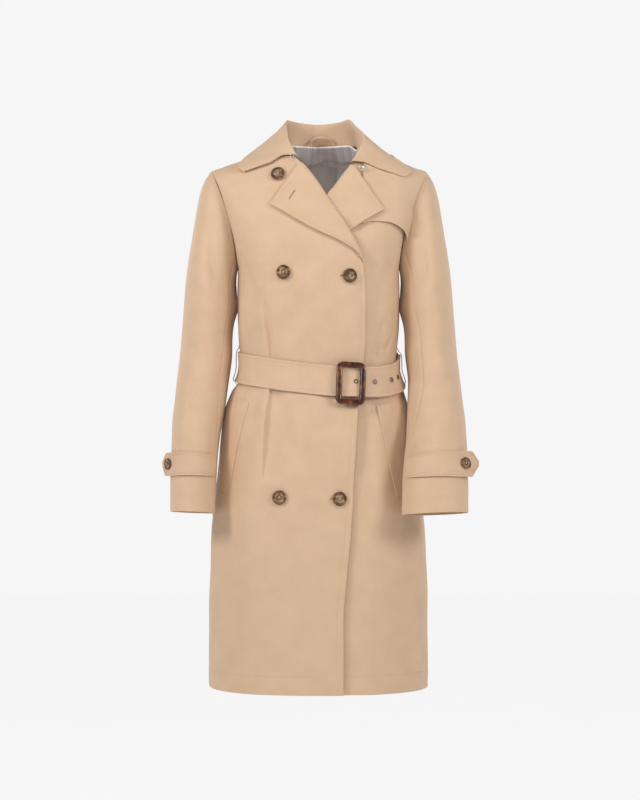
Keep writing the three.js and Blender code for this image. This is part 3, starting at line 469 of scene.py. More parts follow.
def body_point(around, up, lift):
    """A point of the body's cloth with its folds, moved out by lift."""
    around, up = paired(around, up)
    depth = lift + fold_depth(around, up) + fine_depth(around, up)
    return plain_point(around, up) + body_normal(around, up) * np.asarray(depth)[..., None]


def on_front(x, z, lift):
    up = up_of(x, z)
    return body_point(around_of(x, up), up, lift)


def front_normal(x, z):
    up = up_of(x, z)
    return body_normal(around_of(x, up), up)


# Mesh building
RIM_STEPS = 4


def border(rows, columns):
    """Places of a grid's border, in the turning direction of its faces."""
    top = [(0, j) for j in range(columns)]
    last = [(i, columns - 1) for i in range(1, rows)]
    bottom = [(rows - 1, j) for j in range(columns - 2, -1, -1)]
    first = [(i, 0) for i in range(rows - 2, 0, -1)]
    return np.array(top + last + bottom + first)


def grid_quads(rows, columns):
    i, j = np.meshgrid(np.arange(rows - 1), np.arange(columns - 1), indexing="ij")
    a = (i * columns + j).ravel()
    return np.stack([a, a + 1, a + columns + 1, a + columns], -1)


def outward(grid):
    """Direction out of the grid, in its own surface, at each of its border points."""
    out = np.zeros(grid.shape)
    out[0] += unit(grid[0] - grid[1])
    out[-1] += unit(grid[-1] - grid[-2])
    out[:, 0] += unit(grid[:, 0] - grid[:, 1])
    out[:, -1] += unit(grid[:, -1] - grid[:, -2])
    return unit(out)


def tube_faces(rings, sides, first=0, closed=False):
    """Quads between rings of points; closed joins the last ring to the first one."""
    faces = []
    for i in range(rings if closed else rings - 1):
        here, ahead = first + i * sides, first + (i + 1) % rings * sides
        for k in range(sides):
            beyond = (k + 1) % sides
            faces.append([here + k, here + beyond, ahead + beyond, ahead + k])
    return faces


def add_object(name, data):
    made = bpy.data.objects.new(name, data)
    bpy.context.scene.collection.objects.link(made)
    return made


def make_mesh(name, points, faces, place=None):
    """A smooth mesh object from points in millimetres; place holds where each is on its cloth."""
    mesh = bpy.data.meshes.new(name)
    mesh.from_pydata((np.asarray(points) * MM).tolist(), [], [list(map(int, face)) for face in faces])
    mesh.polygons.foreach_set("use_smooth", [True] * len(mesh.polygons))
    if place is not None:
        weave = mesh.attributes.new("weave", "FLOAT_VECTOR", "POINT")
        flat = np.zeros((len(points), 3))
        flat[:, :2] = np.asarray(place) * MM
        weave.data.foreach_set("vector", flat.ravel())
    mesh.update()
    return add_object(name, mesh)


def cloth_place(grid):
    """Real distances across and along a grid of cloth, measured on it."""
    across = np.linalg.norm(np.diff(grid, axis=1), axis=-1)
    along = np.linalg.norm(np.diff(grid, axis=0), axis=-1)
    place = np.zeros(grid.shape[:2] + (2,))
    place[:, 1:, 0] = np.cumsum(across, 1)
    place[1:, :, 1] = np.cumsum(along, 0)
    place[..., 0] -= place[:, -1:, 0] / 2
    place[..., 1] = place[:, grid.shape[1] // 2, 1][:, None]
    return place


def shell(name, outer, inner, material):
    """A closed cloth wall between two grids of points, with a rounded rim."""
    rows, columns = outer.shape[:2]
    around = border(rows, columns)
    top = outer[around[:, 0], around[:, 1]]
    low = inner[around[:, 0], around[:, 1]]
    middle = (top + low) / 2
    half = (top - low) / 2
    out = outward(outer)[around[:, 0], around[:, 1]]
    across_wall = unit(half)
    out = unit(out - across_wall * np.sum(out * across_wall, -1, keepdims=True))
    thick = np.linalg.norm(half, axis=-1, keepdims=True)
    rings = []
    for step in range(1, RIM_STEPS):
        turn = math.pi * step / RIM_STEPS
        rings.append(middle + half * math.cos(turn) + out * thick * math.sin(turn))
    points = np.concatenate([outer.reshape(-1, 3), inner.reshape(-1, 3), *rings])
    count = rows * columns
    quads = grid_quads(rows, columns)
    first = around[:, 0] * columns + around[:, 1]
    loops = [first]
    loops += [2 * count + step * len(first) + np.arange(len(first)) for step in range(RIM_STEPS - 1)]
    loops.append(first + count)
    faces = [quads, quads[:, ::-1] + count]
    for here, beyond in zip(loops, loops[1:]):
        faces.append(np.stack([np.roll(here, -1), here, beyond, np.roll(beyond, -1)], -1))
    faces = np.concatenate(faces)
    centre = points.mean(0)
    a, b, c, d = [points[faces[:, k]] - centre for k in range(4)]
    volume = np.sum(a * np.cross(b, c)) + np.sum(a * np.cross(c, d))
    if volume < 0:
        faces = faces[:, ::-1]
    place = cloth_place(outer)
    rim_place = np.tile(place[around[:, 0], around[:, 1]], (RIM_STEPS - 1, 1))
    places = np.concatenate([place.reshape(-1, 2), place.reshape(-1, 2), rim_place])
    piece = make_mesh(name, points, faces, places)
    piece.data.materials.append(material)
    return piece


def grid_normals(grid, facing=1):
    across = np.gradient(grid, axis=1)
    along = np.gradient(grid, axis=0)
    return unit(np.cross(across, along)) * facing


def dress(piece, nodes):
    """Fastens a piece to the coat's one body and hides the nodes it stands for."""
    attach(piece, BODY_NAME)
    if nodes:
        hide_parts(*nodes)
    return piece


def cloth_piece(name, outer, inner, material):
    """A cloth wall in place of the node of this name."""
    piece = shell(f"{name}_cloth", outer, inner, material)
    dress(piece, [name])
    return piece


def spaced(length, step, near=(0.7, 1.8, 3.4)):
    """Places along an edge, closer together at both ends."""
    near = [0, *near]
    count = max(2, round((length - 2 * near[-1]) / step))
    middle = np.linspace(near[-1], length - near[-1], count + 1)[1:-1]
    return np.concatenate([near, middle, [length - place for place in near[::-1]]])


# Threads
STITCH = {"pitch": 3.1, "long": 2.3, "wide": 0.5, "high": 0.34}
STITCH_POINTS = 10
thread_points = []
thread_faces = []


def sew(path, normals, pitch=STITCH["pitch"], long=STITCH["long"]):
    """A row of stitches along a line of points, lying on its normals."""
    along = length_along(path)
    count = int(along[-1] // pitch)
    for i in range(count):
        middle = (i + 0.5) * pitch
        ends = [np.array(value_at(at, along, path)) for at in (middle - long / 2, middle + long / 2)]
        add_stitch(*ends, unit(np.array(value_at(middle, along, normals))), 0)


def add_stitch(start, end, normal, lift):
    ahead = unit(end - start)
    side = np.cross(ahead, normal)
    base = STITCH_POINTS * len(thread_points)
    rows = [start - normal * STITCH["high"]]
    for share in (0.22, 0.78):
        middle = mix(start, end, share) + normal * lift
        rows += [
            middle + side * STITCH["wide"] / 2,
            middle + normal * STITCH["high"],
            middle - side * STITCH["wide"] / 2,
            middle - normal * STITCH["high"],
        ]
    rows.append(end - normal * STITCH["high"])
    thread_points.append(np.array(rows))
    for k in range(4):
        ahead_k = (k + 1) % 4
        thread_faces.append([base, base + 1 + ahead_k, base + 1 + k])
        thread_faces.append([base + 1 + k, base + 1 + ahead_k, base + 5 + ahead_k, base + 5 + k])
        thread_faces.append([base + 9, base + 5 + k, base + 5 + ahead_k])


def thread_piece(name, material):
    """All stitches as one piece."""
    piece = make_mesh(name, np.concatenate(thread_points), list(thread_faces))
    piece.data.materials.append(material)
    return dress(piece, [])


# Body panels. Rows run from the hem up, and columns from one edge to the side seam.
PANEL_STEP = 3.4
EDGE_ZONE = 14
EDGE_COLUMNS = (0, 0.7, 1.8, 3.4, 5.4, 6.3, 7, 7.7, 8.8, 11)
EDGE_STITCH = 7
HEM_STITCH = 30
# Width by which a front panel's columns are counted
PANEL_WIDE = 285
FAR_NEAR = (0.003, 0.008, 0.016)
EDGE_ROLL = {"high": 0.4, "at": 3.2, "wide": 2.2}
UNDER_STITCH_TOP = -40
GROOVE = {"deep": 0.4, "wide": 0.9}
WIDE_GROOVE = 1.6
THREAD_LIFT = 0.1
SEAM_DIP = {"deep": 0.7, "wide": 1.7}
HEM_HIGH = 0.5
# Shares across the lapped panel between which its tucks need close columns, and their number
TUCK_ZONE = {"from": 0.385, "to": 0.565, "columns": 64}
# How far the lapped edge stands off the side below it
EDGE_LIFT = named_rows("up lift",
    (-714, 1.2),
    (-420, 0.7),
    (-350, 1.4),
    (-305, 4.4),
    (-244, 4),
    (-229, 0.3),
    (-158, 0.4),
    (-130, 2.6),
    (-60, 2.2),
    (0, 1),
    (40, 0))
EDGE_LIFT_WIDE = 24
PANEL_ROWS = HEM_DROP + spaced(ARMHOLE_RISE - HEM_DROP, PANEL_STEP, (0.7, 1.8, 3.4, 6, 9))
BACK_NECK = {"level": 0.925, "side": 0.235, "power": 2.6}
BACK_COLUMNS = (1, 1 / 132, (0.0015, 0.004, 0.0075))


def stitch_groove(distance, wide=GROOVE["wide"]):
    return -GROOVE["deep"] * bell(distance / wide)


def seam_dip(distance):
    return -SEAM_DIP["deep"] * bell(distance / SEAM_DIP["wide"])


def hem_relief(up):
    """The turned-up hem, its stitch line and the slight drag of the stitches."""
    high = up - HEM_DROP
    folded = HEM_HIGH * (1 - smooth(HEM_STITCH - 2, HEM_STITCH + 1, high))
    return folded + stitch_groove(high - HEM_STITCH, WIDE_GROOVE)


def front_panel_grid(side):
    """Places around, heights, and distances from the front edge of one front panel."""
    up = PANEL_ROWS[:, None]
    edge = around_of(over_edge(up) if side < 0 else under_edge(up), up)
    total = np.abs(side - edge) * QUARTER
    far = spaced(1, PANEL_STEP / PANEL_WIDE, FAR_NEAR)[None, :]
    if side < 0:
        close = np.linspace(TUCK_ZONE["from"], TUCK_ZONE["to"], TUCK_ZONE["columns"])
        far = np.unique(np.concatenate([far[0], close]))[None, :]
    distance = np.concatenate([
        np.broadcast_to(np.array(EDGE_COLUMNS, float)[None, :], (len(up), len(EDGE_COLUMNS))),
        EDGE_ZONE + (total - EDGE_ZONE) * far,
    ], 1)
    return edge + side * distance / QUARTER, up, distance, total - distance


def front_panel(side, name, material):
    around, up, from_edge, from_seam = front_panel_grid(side)
    x = plain_point(around, up)[..., 0]
    relief = stitch_groove(from_edge - EDGE_STITCH) + seam_dip(from_seam) + hem_relief(up)
    relief = relief + ridge(from_edge, EDGE_ROLL)
    sunk = 0 if side < 0 else under_shift(x, up)
    if side < 0:
        lift_at = column(EDGE_LIFT, "up", "lift")(up)
        relief = relief + lift_at * bell(from_edge / EDGE_LIFT_WIDE)

    def face(lift):
        points = body_point(around, up, lift + relief - sunk)
        points[..., 1] = np.minimum(points[..., 1], SIDE_Y - SEAM_GAP / 4)
        return points

    outer = face(0)
    low = up[:, 0] < ARMHOLE_RISE * 0.05
    rows = low if side < 0 else up[:, 0] < UNDER_STITCH_TOP
    column_at = EDGE_COLUMNS.index(EDGE_STITCH)
    sew(outer[rows, column_at], body_normal(around[rows, column_at], up[rows, 0]))
    hem_up = np.full(around.shape[1], HEM_DROP + HEM_STITCH)
    hem_around = around[np.searchsorted(up[:, 0], HEM_DROP + HEM_STITCH)]
    hem_x = plain_point(hem_around, hem_up)[:, 0]
    hem_sunk = 0 if side < 0 else under_shift(hem_x, hem_up)
    sew(body_point(hem_around, hem_up, THREAD_LIFT - hem_sunk), body_normal(hem_around, hem_up))
    return cloth_piece(name, outer, face(-CLOTH), material)


def back_top(around):
    """Share of the back's full height that it reaches at a place around."""
    from_centre = np.abs(2 - np.abs(around))
    inside = np.minimum(from_centre / BACK_NECK["side"], 1)
    return mix(BACK_NECK["level"], 1, inside ** BACK_NECK["power"])


def back_face(levels, shares, lift):
    """Points of the back; shares run from the right side seam to the left one."""
    around = mix(1 + 1e-5, 3 - 1e-5, shares)[None, :]
    folded = np.where(around > 2, 4 - around, around)
    level = levels[:, None]
    up = np.where(level > 0, level * back_top(folded), level)
    points = body_point(one_turn(around), up, lift)
    points[..., 1] = np.maximum(points[..., 1], SIDE_Y + SEAM_GAP / 4)
    return points


def back_panel(material):
    shares = spaced(*BACK_COLUMNS)
    from_seam = np.minimum(shares, 1 - shares)[None, :] * 2 * QUARTER
    relief = seam_dip(from_seam) + hem_relief(PANEL_ROWS[:, None])
    outer = back_face(PANEL_ROWS, shares, relief)
    inner = back_face(PANEL_ROWS, shares, relief - CLOTH)
    normals = grid_normals(outer)
    row = np.searchsorted(PANEL_ROWS, HEM_DROP + HEM_STITCH)
    sew(outer[row], normals[row])
    return cloth_piece("back", outer, inner, material)


# Half lining of the back, its bare label and the hanger loop
LINING_GAP = 2.2
LINING_LEVELS = {"low": -70, "high": 168, "rows": 150, "columns": 104}
LINING_RIPPLE = {"high": 0.5, "turns": 61, "top": 162, "fade": 60, "share": 0.3}
# The upper strip of the lining laps over the rest, with a scalloped lower edge
LINING_STRIP = {"z": -17, "scallop": 3, "waves": 0.11, "thick": 2.6}
LINING_SIDE = 0.15
# Its top edge runs straight: the sides are raised to this z, at most so far, and come forward
LINING_RAISE = {"z": 10.2, "most": 12, "inner_x": 52, "outer_x": 70, "low": 140, "high": 166}
LINING_FORWARD = 1.6
LABEL = {"left": -18, "right": 33, "top": -12, "bottom": -66}
LABEL_LIFT = {"off": 0.6, "back": 0.3, "face": 0.9, "puff": 0.5}
LABEL_GRID = (1, 0.05, (0.02, 0.05))
LABEL_STITCH = {"pitch": 2.4, "long": 1.7}


def back_lining(material):
    levels = np.linspace(LINING_LEVELS["low"], LINING_LEVELS["high"], LINING_LEVELS["rows"])
    shares = np.linspace(LINING_SIDE, 1 - LINING_SIDE, LINING_LEVELS["columns"])
    below = smooth(0, LINING_RIPPLE["fade"], LINING_RIPPLE["top"] - levels)[:, None]
    ripple = LINING_RIPPLE["high"] * np.sin(shares * LINING_RIPPLE["turns"])[None, :] * below
    sunk = -LINING_GAP - LINING_RIPPLE["share"] * (1 + ripple)
    outer = back_face(levels, shares, sunk)
    short = np.clip(LINING_RAISE["z"] - outer[-1, :, 2], 0, LINING_RAISE["most"])
    short = short * (1 - smooth(LINING_RAISE["inner_x"], LINING_RAISE["outer_x"], np.abs(outer[-1, :, 0])))
    raised = short[None, :] * smooth(LINING_RAISE["low"], LINING_RAISE["high"], levels)[:, None]
    lower = LINING_STRIP["z"] + LINING_STRIP["scallop"] * np.sin(outer[..., 0] * LINING_STRIP["waves"])
    strip = LINING_STRIP["thick"] * smooth(-0.7, 0.7, outer[..., 2] - lower)
    inner = back_face(levels, shares, sunk - LINING - strip)
    for face in (outer, inner):
        face[..., 1] -= raised * LINING_FORWARD
        face[..., 2] += raised
    return cloth_piece("back_lining", outer, inner, material)


def label_point(across, low, lift):
    x = mix(LABEL["left"], LABEL["right"], across)
    z = mix(LABEL["bottom"], LABEL["top"], low)
    up = up_of(x, z)
    return body_point(around_of(x, up, True), up, -LINING_GAP - LINING - LABEL_LIFT["off"] - lift)


def label(material):
    across = spaced(*LABEL_GRID)[None, :]
    low = spaced(*LABEL_GRID)[:, None]
    puff = LABEL_LIFT["puff"] * np.sin(math.pi * across) * np.sin(math.pi * low)
    outer = label_point(across, low, LABEL_LIFT["back"] + puff)
    inner = label_point(across, low, LABEL_LIFT["face"] + puff)
    for path in (inner[2], inner[-3], inner[:, 2], inner[:, -3]):
        sew(path, np.tile([0, -1.0, 0], (len(path), 1)), **LABEL_STITCH)
    return cloth_piece("neck_label", outer, inner, material)


HANGER = {"left": -14, "right": 26, "z": 11, "y": 43.5, "high": 15, "half": 2.1, "bow": 2, "hollow": 0.6}


def hanger_loop(material):
    turn = np.linspace(math.pi, 0, 49)[:, None]
    across = np.array([-1, -0.8, -0.3, 0.3, 0.8, 1])[None, :]
    x = mix(HANGER["left"], HANGER["right"], (1 + np.cos(turn)) / 2)
    rise = HANGER["high"] * np.maximum(np.sin(turn), 0) ** 0.7
    out_x = np.cos(turn) * 0.8
    out_z = np.maximum(np.sin(turn), 0.25)
    y = HANGER["y"] - HANGER["bow"] * np.sin(turn) - HANGER["hollow"] * (1 - across ** 2)
    half = HANGER["half"] * across
    outer = np.stack([x + out_x * half, y + 0 * half, HANGER["z"] + rise + out_z * half], -1)
    inner = outer + np.array([0, TRIM, 0])
    return cloth_piece("hanger_loop", outer, inner, material)


# Lapels: fold line from the notch down to the break, then the outer edge from corner to break
LEFT_FOLD = {"top": 133, "bottom": 5}
LEFT_OUTER = named_rows("share x z",
    (0, -80, -101),
    (0.5, -10, -142),
    (0.9, 58, -177),
    (1, 71, -191))
RIGHT_FOLD = {"top": 134, "bottom": 84, "share": 0.55, "hidden_x": 31, "hidden_z": -150, "roll": 1.25,
              "before": 0.15}
RIGHT_OUTER = named_rows("share x z",
    (0, 107, -111),
    (0.5, 74, -131),
    (1, 37, -155))
LAPEL_LIFT = 2.5
LAPEL_THICK = 1.3
LAPEL_STITCH = 6.5
LAPEL_ROWS = (1, 0.014, (0.005, 0.012, 0.022))
LAPEL_COLUMNS = (0.92, 0.022, (0.008, 0.018))
LAPEL_FIRST = {"to": 0.08, "columns": 12}
# Near the break the roll is less wide
LAPEL_END = {"from": 0.9, "roll": 0.9}
LAPEL_RIB = {"high": 0.35, "at": 3, "wide": 2}
# The right lapel lies on the storm flap beyond this x, and below the lapped side before that one
OVER_FLAP = {"lift": 3.3, "from": 38, "to": 56}
BELOW_EDGE = {"from": 5, "to": 16}
LAPEL_ROLL = named_rows("across beyond lift",
    (0, 3, -0.4),
    (0.02, 2.8, 1.8),
    (0.06, 0.8, 3.4),
    (0.2, 0, 4.2),
    (0.45, 0, 3.8),
    (0.72, 0, 4),
    (1, 0, 5.2))
roll_beyond = column(LAPEL_ROLL, "across", "beyond")
roll_lift = column(LAPEL_ROLL, "across", "lift")


def left_fold(share):
    up = mix(LEFT_FOLD["top"], LEFT_FOLD["bottom"], share)
    return over_edge(up), plain_point(around_of(over_edge(up), up), up)[..., 2]


def right_fold(share):
    """Follows the panel's edge, then hides below the lapped side."""
    seen = RIGHT_FOLD["share"]
    up = mix(RIGHT_FOLD["top"], RIGHT_FOLD["bottom"], np.minimum(share / seen, 1))
    x = under_edge(up)
    z = plain_point(around_of(x, up), up)[..., 2]
    past = np.maximum(0, (share - seen) / (1 - seen))
    return mix(x, RIGHT_FOLD["hidden_x"], past), mix(z, RIGHT_FOLD["hidden_z"], past)


def lapel_face(fold_at, edge, side, share, across, lift):
    """Points of a lapel: share runs down the fold line and across runs out to its edge."""
    fold_x, fold_z = fold_at(share)
    edge_x = column(edge, "share", "x")(share)
    edge_z = column(edge, "share", "z")(share)
    shrink = np.where(share > LAPEL_END["from"], LAPEL_END["roll"], 1)
    roll = (1 if side < 0 else RIGHT_FOLD["roll"]) * shrink * roll_beyond(across)
    x = mix(fold_x, edge_x, across) - side * roll
    z = mix(fold_z, edge_z, across)
    up = up_of(x, z)
    sunk = 0 if side < 0 else under_shift(x, up)
    hidden = 0 if side < 0 else 1 - smooth(BELOW_EDGE["from"], BELOW_EDGE["to"], x - over_edge(up))
    is_covered = (side > 0) & (share > RIGHT_FOLD["share"] - RIGHT_FOLD["before"])
    on_flap = 0 if side < 0 else OVER_FLAP["lift"] * smooth(OVER_FLAP["from"], OVER_FLAP["to"], x)
    high = np.where(is_covered, np.maximum(roll_lift(across), LAPEL_LIFT), roll_lift(across)) + on_flap
    high = mix(high, np.minimum(high, LAPEL_LIFT), hidden)
    return body_point(around_of(x, up), up, high - sunk + lift)


def lapel(fold_at, edge, side, name, material):
    share = spaced(*LAPEL_ROWS)[:, None]
    first = np.linspace(0, LAPEL_FIRST["to"], LAPEL_FIRST["columns"])[:-1]
    across = np.concatenate([first, spaced(*LAPEL_COLUMNS) + LAPEL_FIRST["to"]])
    across = np.unique(across)[None, :]
    flat = lapel_face(fold_at, edge, side, share, across, 0)
    place = cloth_place(flat)
    to_edge = place[:, -1:, 0] - place[..., 0]
    to_top = place[..., 1] - place[0, 0, 1]
    relief = stitch_groove(to_edge - LAPEL_STITCH) + stitch_groove(to_top - LAPEL_STITCH)
    relief += ridge(to_edge, LAPEL_RIB)
    outer = lapel_face(fold_at, edge, side, share, across, relief)
    inner = outer - grid_normals(outer, -side) * LAPEL_THICK
    sew_offset(outer, grid_normals(outer, -side), LAPEL_STITCH, by_row=True)
    return cloth_piece(name, outer, inner, material)


def sew_offset(outer, normals, offset, by_row):
    """Stitches at a fixed distance from a grid's last column (by_row) or first row."""
    count = outer.shape[0] if by_row else outer.shape[1]
    path, facing = [], []
    for i in range(count):
        line = outer[i] if by_row else outer[:, i]
        normal = normals[i] if by_row else normals[:, i]
        along = length_along(line)
        at = along[-1] - offset if by_row else offset
        if 0 < at < along[-1]:
            path.append(value_at(at, along, line))
            facing.append(value_at(at, along, normal))
    if len(path) > 3:
        sew(np.array(path), np.array(facing))


# Storm flap over the right chest, from the shoulder seam and armhole
FLAP_EDGE = named_rows("share rise",
    (0, 0.34),
    (0.13, 0.372),
    (0.36, 0.393),
    (0.55, 0.37),
    (0.8, 0.312),
    (1, 0.25))
FLAP_LIFT = 3
FLAP_SINK = 0.45
# Away from the neck its lower edge stands off most
FLAP_OPEN = {"most": 5, "up_to": 0.3, "from": 0.15, "to": 0.6}
FLAP_ROWS = (1, 0.03, (0.008, 0.02, 0.04))
FLAP_COLUMNS = (1, 0.02, (0.005, 0.012, 0.022))
FLAP = {"first_up": 78, "top_up": 162, "inner_x": 72, "inner_top_x": 78, "outer": 0.985, "column": 30}


def storm_flap_face(rows, across, lift):
    """rows run from the lower edge (0) up to the shoulder (1), across from the neck to the sleeve."""
    first = column(FLAP_EDGE, "share", "rise")(across) * ARMHOLE_RISE
    up = mix(first, FLAP["top_up"], rows)
    high = np.clip((up - FLAP["first_up"]) / (ARMHOLE_RISE - FLAP["first_up"]), 0, 1)
    inner = around_of(mix(FLAP["inner_x"], FLAP["inner_top_x"], high), up)
    around = mix(inner, FLAP["outer"], across)
    opened = 1 - smooth(0, FLAP_OPEN["up_to"], high)
    opened = FLAP_OPEN["most"] * (opened * smooth(FLAP_OPEN["from"], FLAP_OPEN["to"], across))
    sunk = FLAP_SINK * under_shift(plain_point(around, up)[..., 0], up)
    return body_point(around, up, FLAP_LIFT + opened - sunk + lift)


def storm_flap(material):
    rows = spaced(*FLAP_ROWS)[:, None]
    across = spaced(*FLAP_COLUMNS)[None, :]
    flat = storm_flap_face(rows, across, 0)
    from_edge = length_along(flat[:, FLAP["column"]])
    relief = stitch_groove(from_edge - LAPEL_STITCH)[:, None] + 0 * across
    outer = storm_flap_face(rows, across, relief)
    normals = grid_normals(outer)
    inner = outer - normals * TRIM
    sew_offset(outer, normals, LAPEL_STITCH, by_row=False)
    return cloth_piece("storm_flap", outer, inner, material)


# Collar: one sheet from the neck seam up the stand, over the roll and down the leaf.
# Guide points run from the left front end around the back to the right front end.
SEAM_GUIDE = named_rows("at x y z",
    (0, -37, -56, -17),
    (0.06, -45, -50, -9),
    (0.14, -55, -31, 0),
    (0.24, -64, 0, 6),
    (0.34, -56, 28, 9),
    (0.42, -32, 48, 11),
    (0.5, 0, 55, 12),
    (0.58, 32, 48, 11),
    (0.66, 56, 28, 9),
    (0.76, 64, 0, 6),
    (0.86, 66, -35, -5),
    (0.94, 61, -53, -17),
    (1, 54, -61, -28))
ROLL_GUIDE = named_rows("at x y z",
    (0, -39, -62, -14),
    (0.06, -46, -54, 0),
    (0.14, -53, -36, 20),
    (0.24, -56, -6, 45),
    (0.34, -52, 26, 56),
    (0.42, -32, 48, 54),
    (0.5, 0, 57, 52),
    (0.58, 32, 48, 54),
    (0.66, 50, 26, 57),
    (0.76, 63, -6, 42),
    (0.86, 77, -38, 20),
    (0.94, 70, -56, -5),
    (1, 59, -66, -25))
LEAF_GUIDE = named_rows("at x y z",
    (0, -127, -38, -42),
    (0.06, -136, -30, -33),
    (0.14, -130, -14, -20),
    (0.24, -112, 16, -2),
    (0.34, -92, 58, -8),
    (0.42, -56, 84, -16),
    (0.5, 0, 93, -20),
    (0.58, 56, 84, -16),
    (0.66, 84, 58, -8),
    (0.76, 106, 16, -3),
    (0.86, 143, -14, -24),
    (0.94, 159, -30, -41),
    (1, 146, -40, -51))
COLLAR_ROWS = (1, 1 / 150, (0.0012, 0.003, 0.006))
STAND_STEPS = 9
LEAF_STEPS = 26
ROLL_HALF = 2.6
LEAF_BULGE = {"left": 0.5, "right": -1, "from": 0.5, "to": 0.66, "out": 0.6}
# Height of the roll at the collar's two ends, and how fast it grows from there
COLLAR_END = {"high": 0.25, "growth": 6}
# Arch of the leaf's two front ends, next to the notches
LEAF_ARCH = {"left": 6, "right": 3, "reach": 0.07, "middle": 0.22, "wide": 0.17}
LEAF_CLEAR = 6.2
# Drop of the stand's and the leaf's last points below the roll, and its height between them
ROLL_DROP = {"stand": 5, "leaf": 3, "high": 1.3}
ROLL_SHARES = (0.2, 0.4, 0.6, 0.8)
COLLAR_STITCH = 6.5


def guide(table, at):
    return np.stack([column(table, "at", axis)(at) for axis in ("x", "y", "z")], -1)


def clear_of(points, clear):
    """Moves points out until they clear the cloth below them."""
    is_back = points[..., 1] > SIDE_Y

    def cleared(up):
        return body_point(around_of(points[..., 0], up, is_back), up, clear)

    low = np.zeros(points.shape[:-1])
    high = np.full(points.shape[:-1], float(ARMHOLE_RISE))
    above = cleared(high)[..., 2] < points[..., 2]
    for _ in range(COLLAR_HALVINGS):
        up = (low + high) / 2
        is_low = cleared(up)[..., 2] < points[..., 2]
        low = np.where(is_low, up, low)
        high = np.where(is_low, high, up)
    below = cleared(low)[..., 1]
    y = np.where(is_back, np.maximum(points[..., 1], below), np.minimum(points[..., 1], below))
    moved = points.copy()
    moved[..., 1] = np.where(above, points[..., 1], y)
    return moved


def collar_face(at, leaf_clear):
    """Rows run around the neck, columns from the neck seam over the roll to the leaf's edge."""
    foot = guide(SEAM_GUIDE, at)
    top = guide(ROLL_GUIDE, at)
    rim = guide(LEAF_GUIDE, at)
    out = rim - foot
    out[..., 2] = 0
    out = unit(out)
    end = np.minimum(at, 1 - at)
    height = np.minimum(1, COLLAR_END["high"] + end * COLLAR_END["growth"])[:, None]
    upright = np.array([0, 0, 1.0])
    stand = top - out * ROLL_HALF - ROLL_DROP["stand"] * height * upright
    fall = top + out * ROLL_HALF - ROLL_DROP["leaf"] * height * upright
    columns = [mix(foot, stand, share) for share in np.linspace(0, 1, STAND_STEPS)]
    crest = top + ROLL_DROP["high"] * upright
    for share in ROLL_SHARES:
        bend = 2 * share * (1 - share)
        columns.append(stand * (1 - share) ** 2 + crest * bend + fall * share ** 2)
    turned_to = smooth(LEAF_BULGE["from"], LEAF_BULGE["to"], at)
    full = mix(LEAF_BULGE["left"], LEAF_BULGE["right"], turned_to)[:, None]
    arch = np.where(at < 0.5, LEAF_ARCH["left"], LEAF_ARCH["right"])
    arch = (arch * (1 - smooth(0, LEAF_ARCH["reach"], end)))[:, None]
    for share in np.linspace(0, 1, LEAF_STEPS):
        point = mix(fall, rim, share)
        bulge = full * math.sin(math.pi * share) * height
        near = math.exp(-((share - LEAF_ARCH["middle"]) / LEAF_ARCH["wide"]) ** 2)
        columns.append(point + out * bulge * LEAF_BULGE["out"] + upright * (bulge + arch * near))
    grid = np.stack(columns, 1)
    leaf = STAND_STEPS + len(ROLL_SHARES)
    grid[:, leaf:] = clear_of(grid[:, leaf:], leaf_clear)
    return grid


def collar(material):
    at = spaced(*COLLAR_ROWS)
    outer = collar_face(at, LEAF_CLEAR)
    normals = grid_normals(outer, -1)
    place = cloth_place(outer)
    to_edge = place[:, -1:, 0] - place[..., 0]
    is_leaf = (np.arange(outer.shape[1]) > STAND_STEPS + 6)[None, :]
    relief = stitch_groove(to_edge - COLLAR_STITCH) * is_leaf
    outer = outer + normals * relief[..., None]
    inner = outer - normals * CLOTH
    sew_offset(outer, normals, COLLAR_STITCH, by_row=True)
    return cloth_piece("collar", outer, inner, material)


# Belt: one strip from the buckle bar to the right, round the back, and out through the buckle
BELT_HALF = 24.5
BELT_THICK = 2
BELT_LINE = named_rows("around z",
    (-1, -372),
    (-0.55, -380),
    (-0.2, -391),
    (0.2, -400),
    (0.42, -401),
    (0.62, -396),
    (1, -377),
    (2, -362),
    (3, -372))
BUCKLE_X = 55
BUCKLE_LINE = -401 - UNDERARM_Z
BELT_LIFT = 4.4
TAIL_LIFT = 7.2
WINDOW_LIFT = 9.2
# Place around at which the tail ends: a full turn is 4, and the side seam lies 1 beyond it
BELT_END = 5.02
BELT_COLUMNS = (1, 1 / 380, (0.0006, 0.0014))
BELT_ROWS = (1, 0.06, (0.012, 0.03, 0.07, 0.092, 0.115))
# The hidden end starts so far to the right of the buckle's middle
BELT_START = 6
# Places from the buckle between which the belt rises to its window, and comes down beyond it
BELT_RISE = (-0.3, -0.06)
BELT_FALL = (0.1, 0.36)
BELT_STITCH = 4.5
BELT_RIB = {"high": 0.3, "at": 2, "wide": 1.4}
BELT_WAVES = named_rows("across up phase high",
    (9, 6, 0.7, 0.35),
    (23, -18, 2.9, 0.18),
    (41, 14, 5.1, 0.1))
# At the sides the belt leans with the hips: its lower edge stands out by so much
BELT_FLARE = {"out": 4.6, "wide": 70}
belt_z = column(BELT_LINE, "around", "z")


def belt_line(around):
    turn = np.where(around > 3, around - 4, around)
    return belt_z(np.where(turn < -1, turn + 4, turn))


def belt_flare(around, share):
    turn = np.abs(one_turn(around))
    near = bell((turn - 1) * QUARTER / BELT_FLARE["wide"])
    return BELT_FLARE["out"] * (1 - 2 * np.clip(share, 0, 0.5)) * near


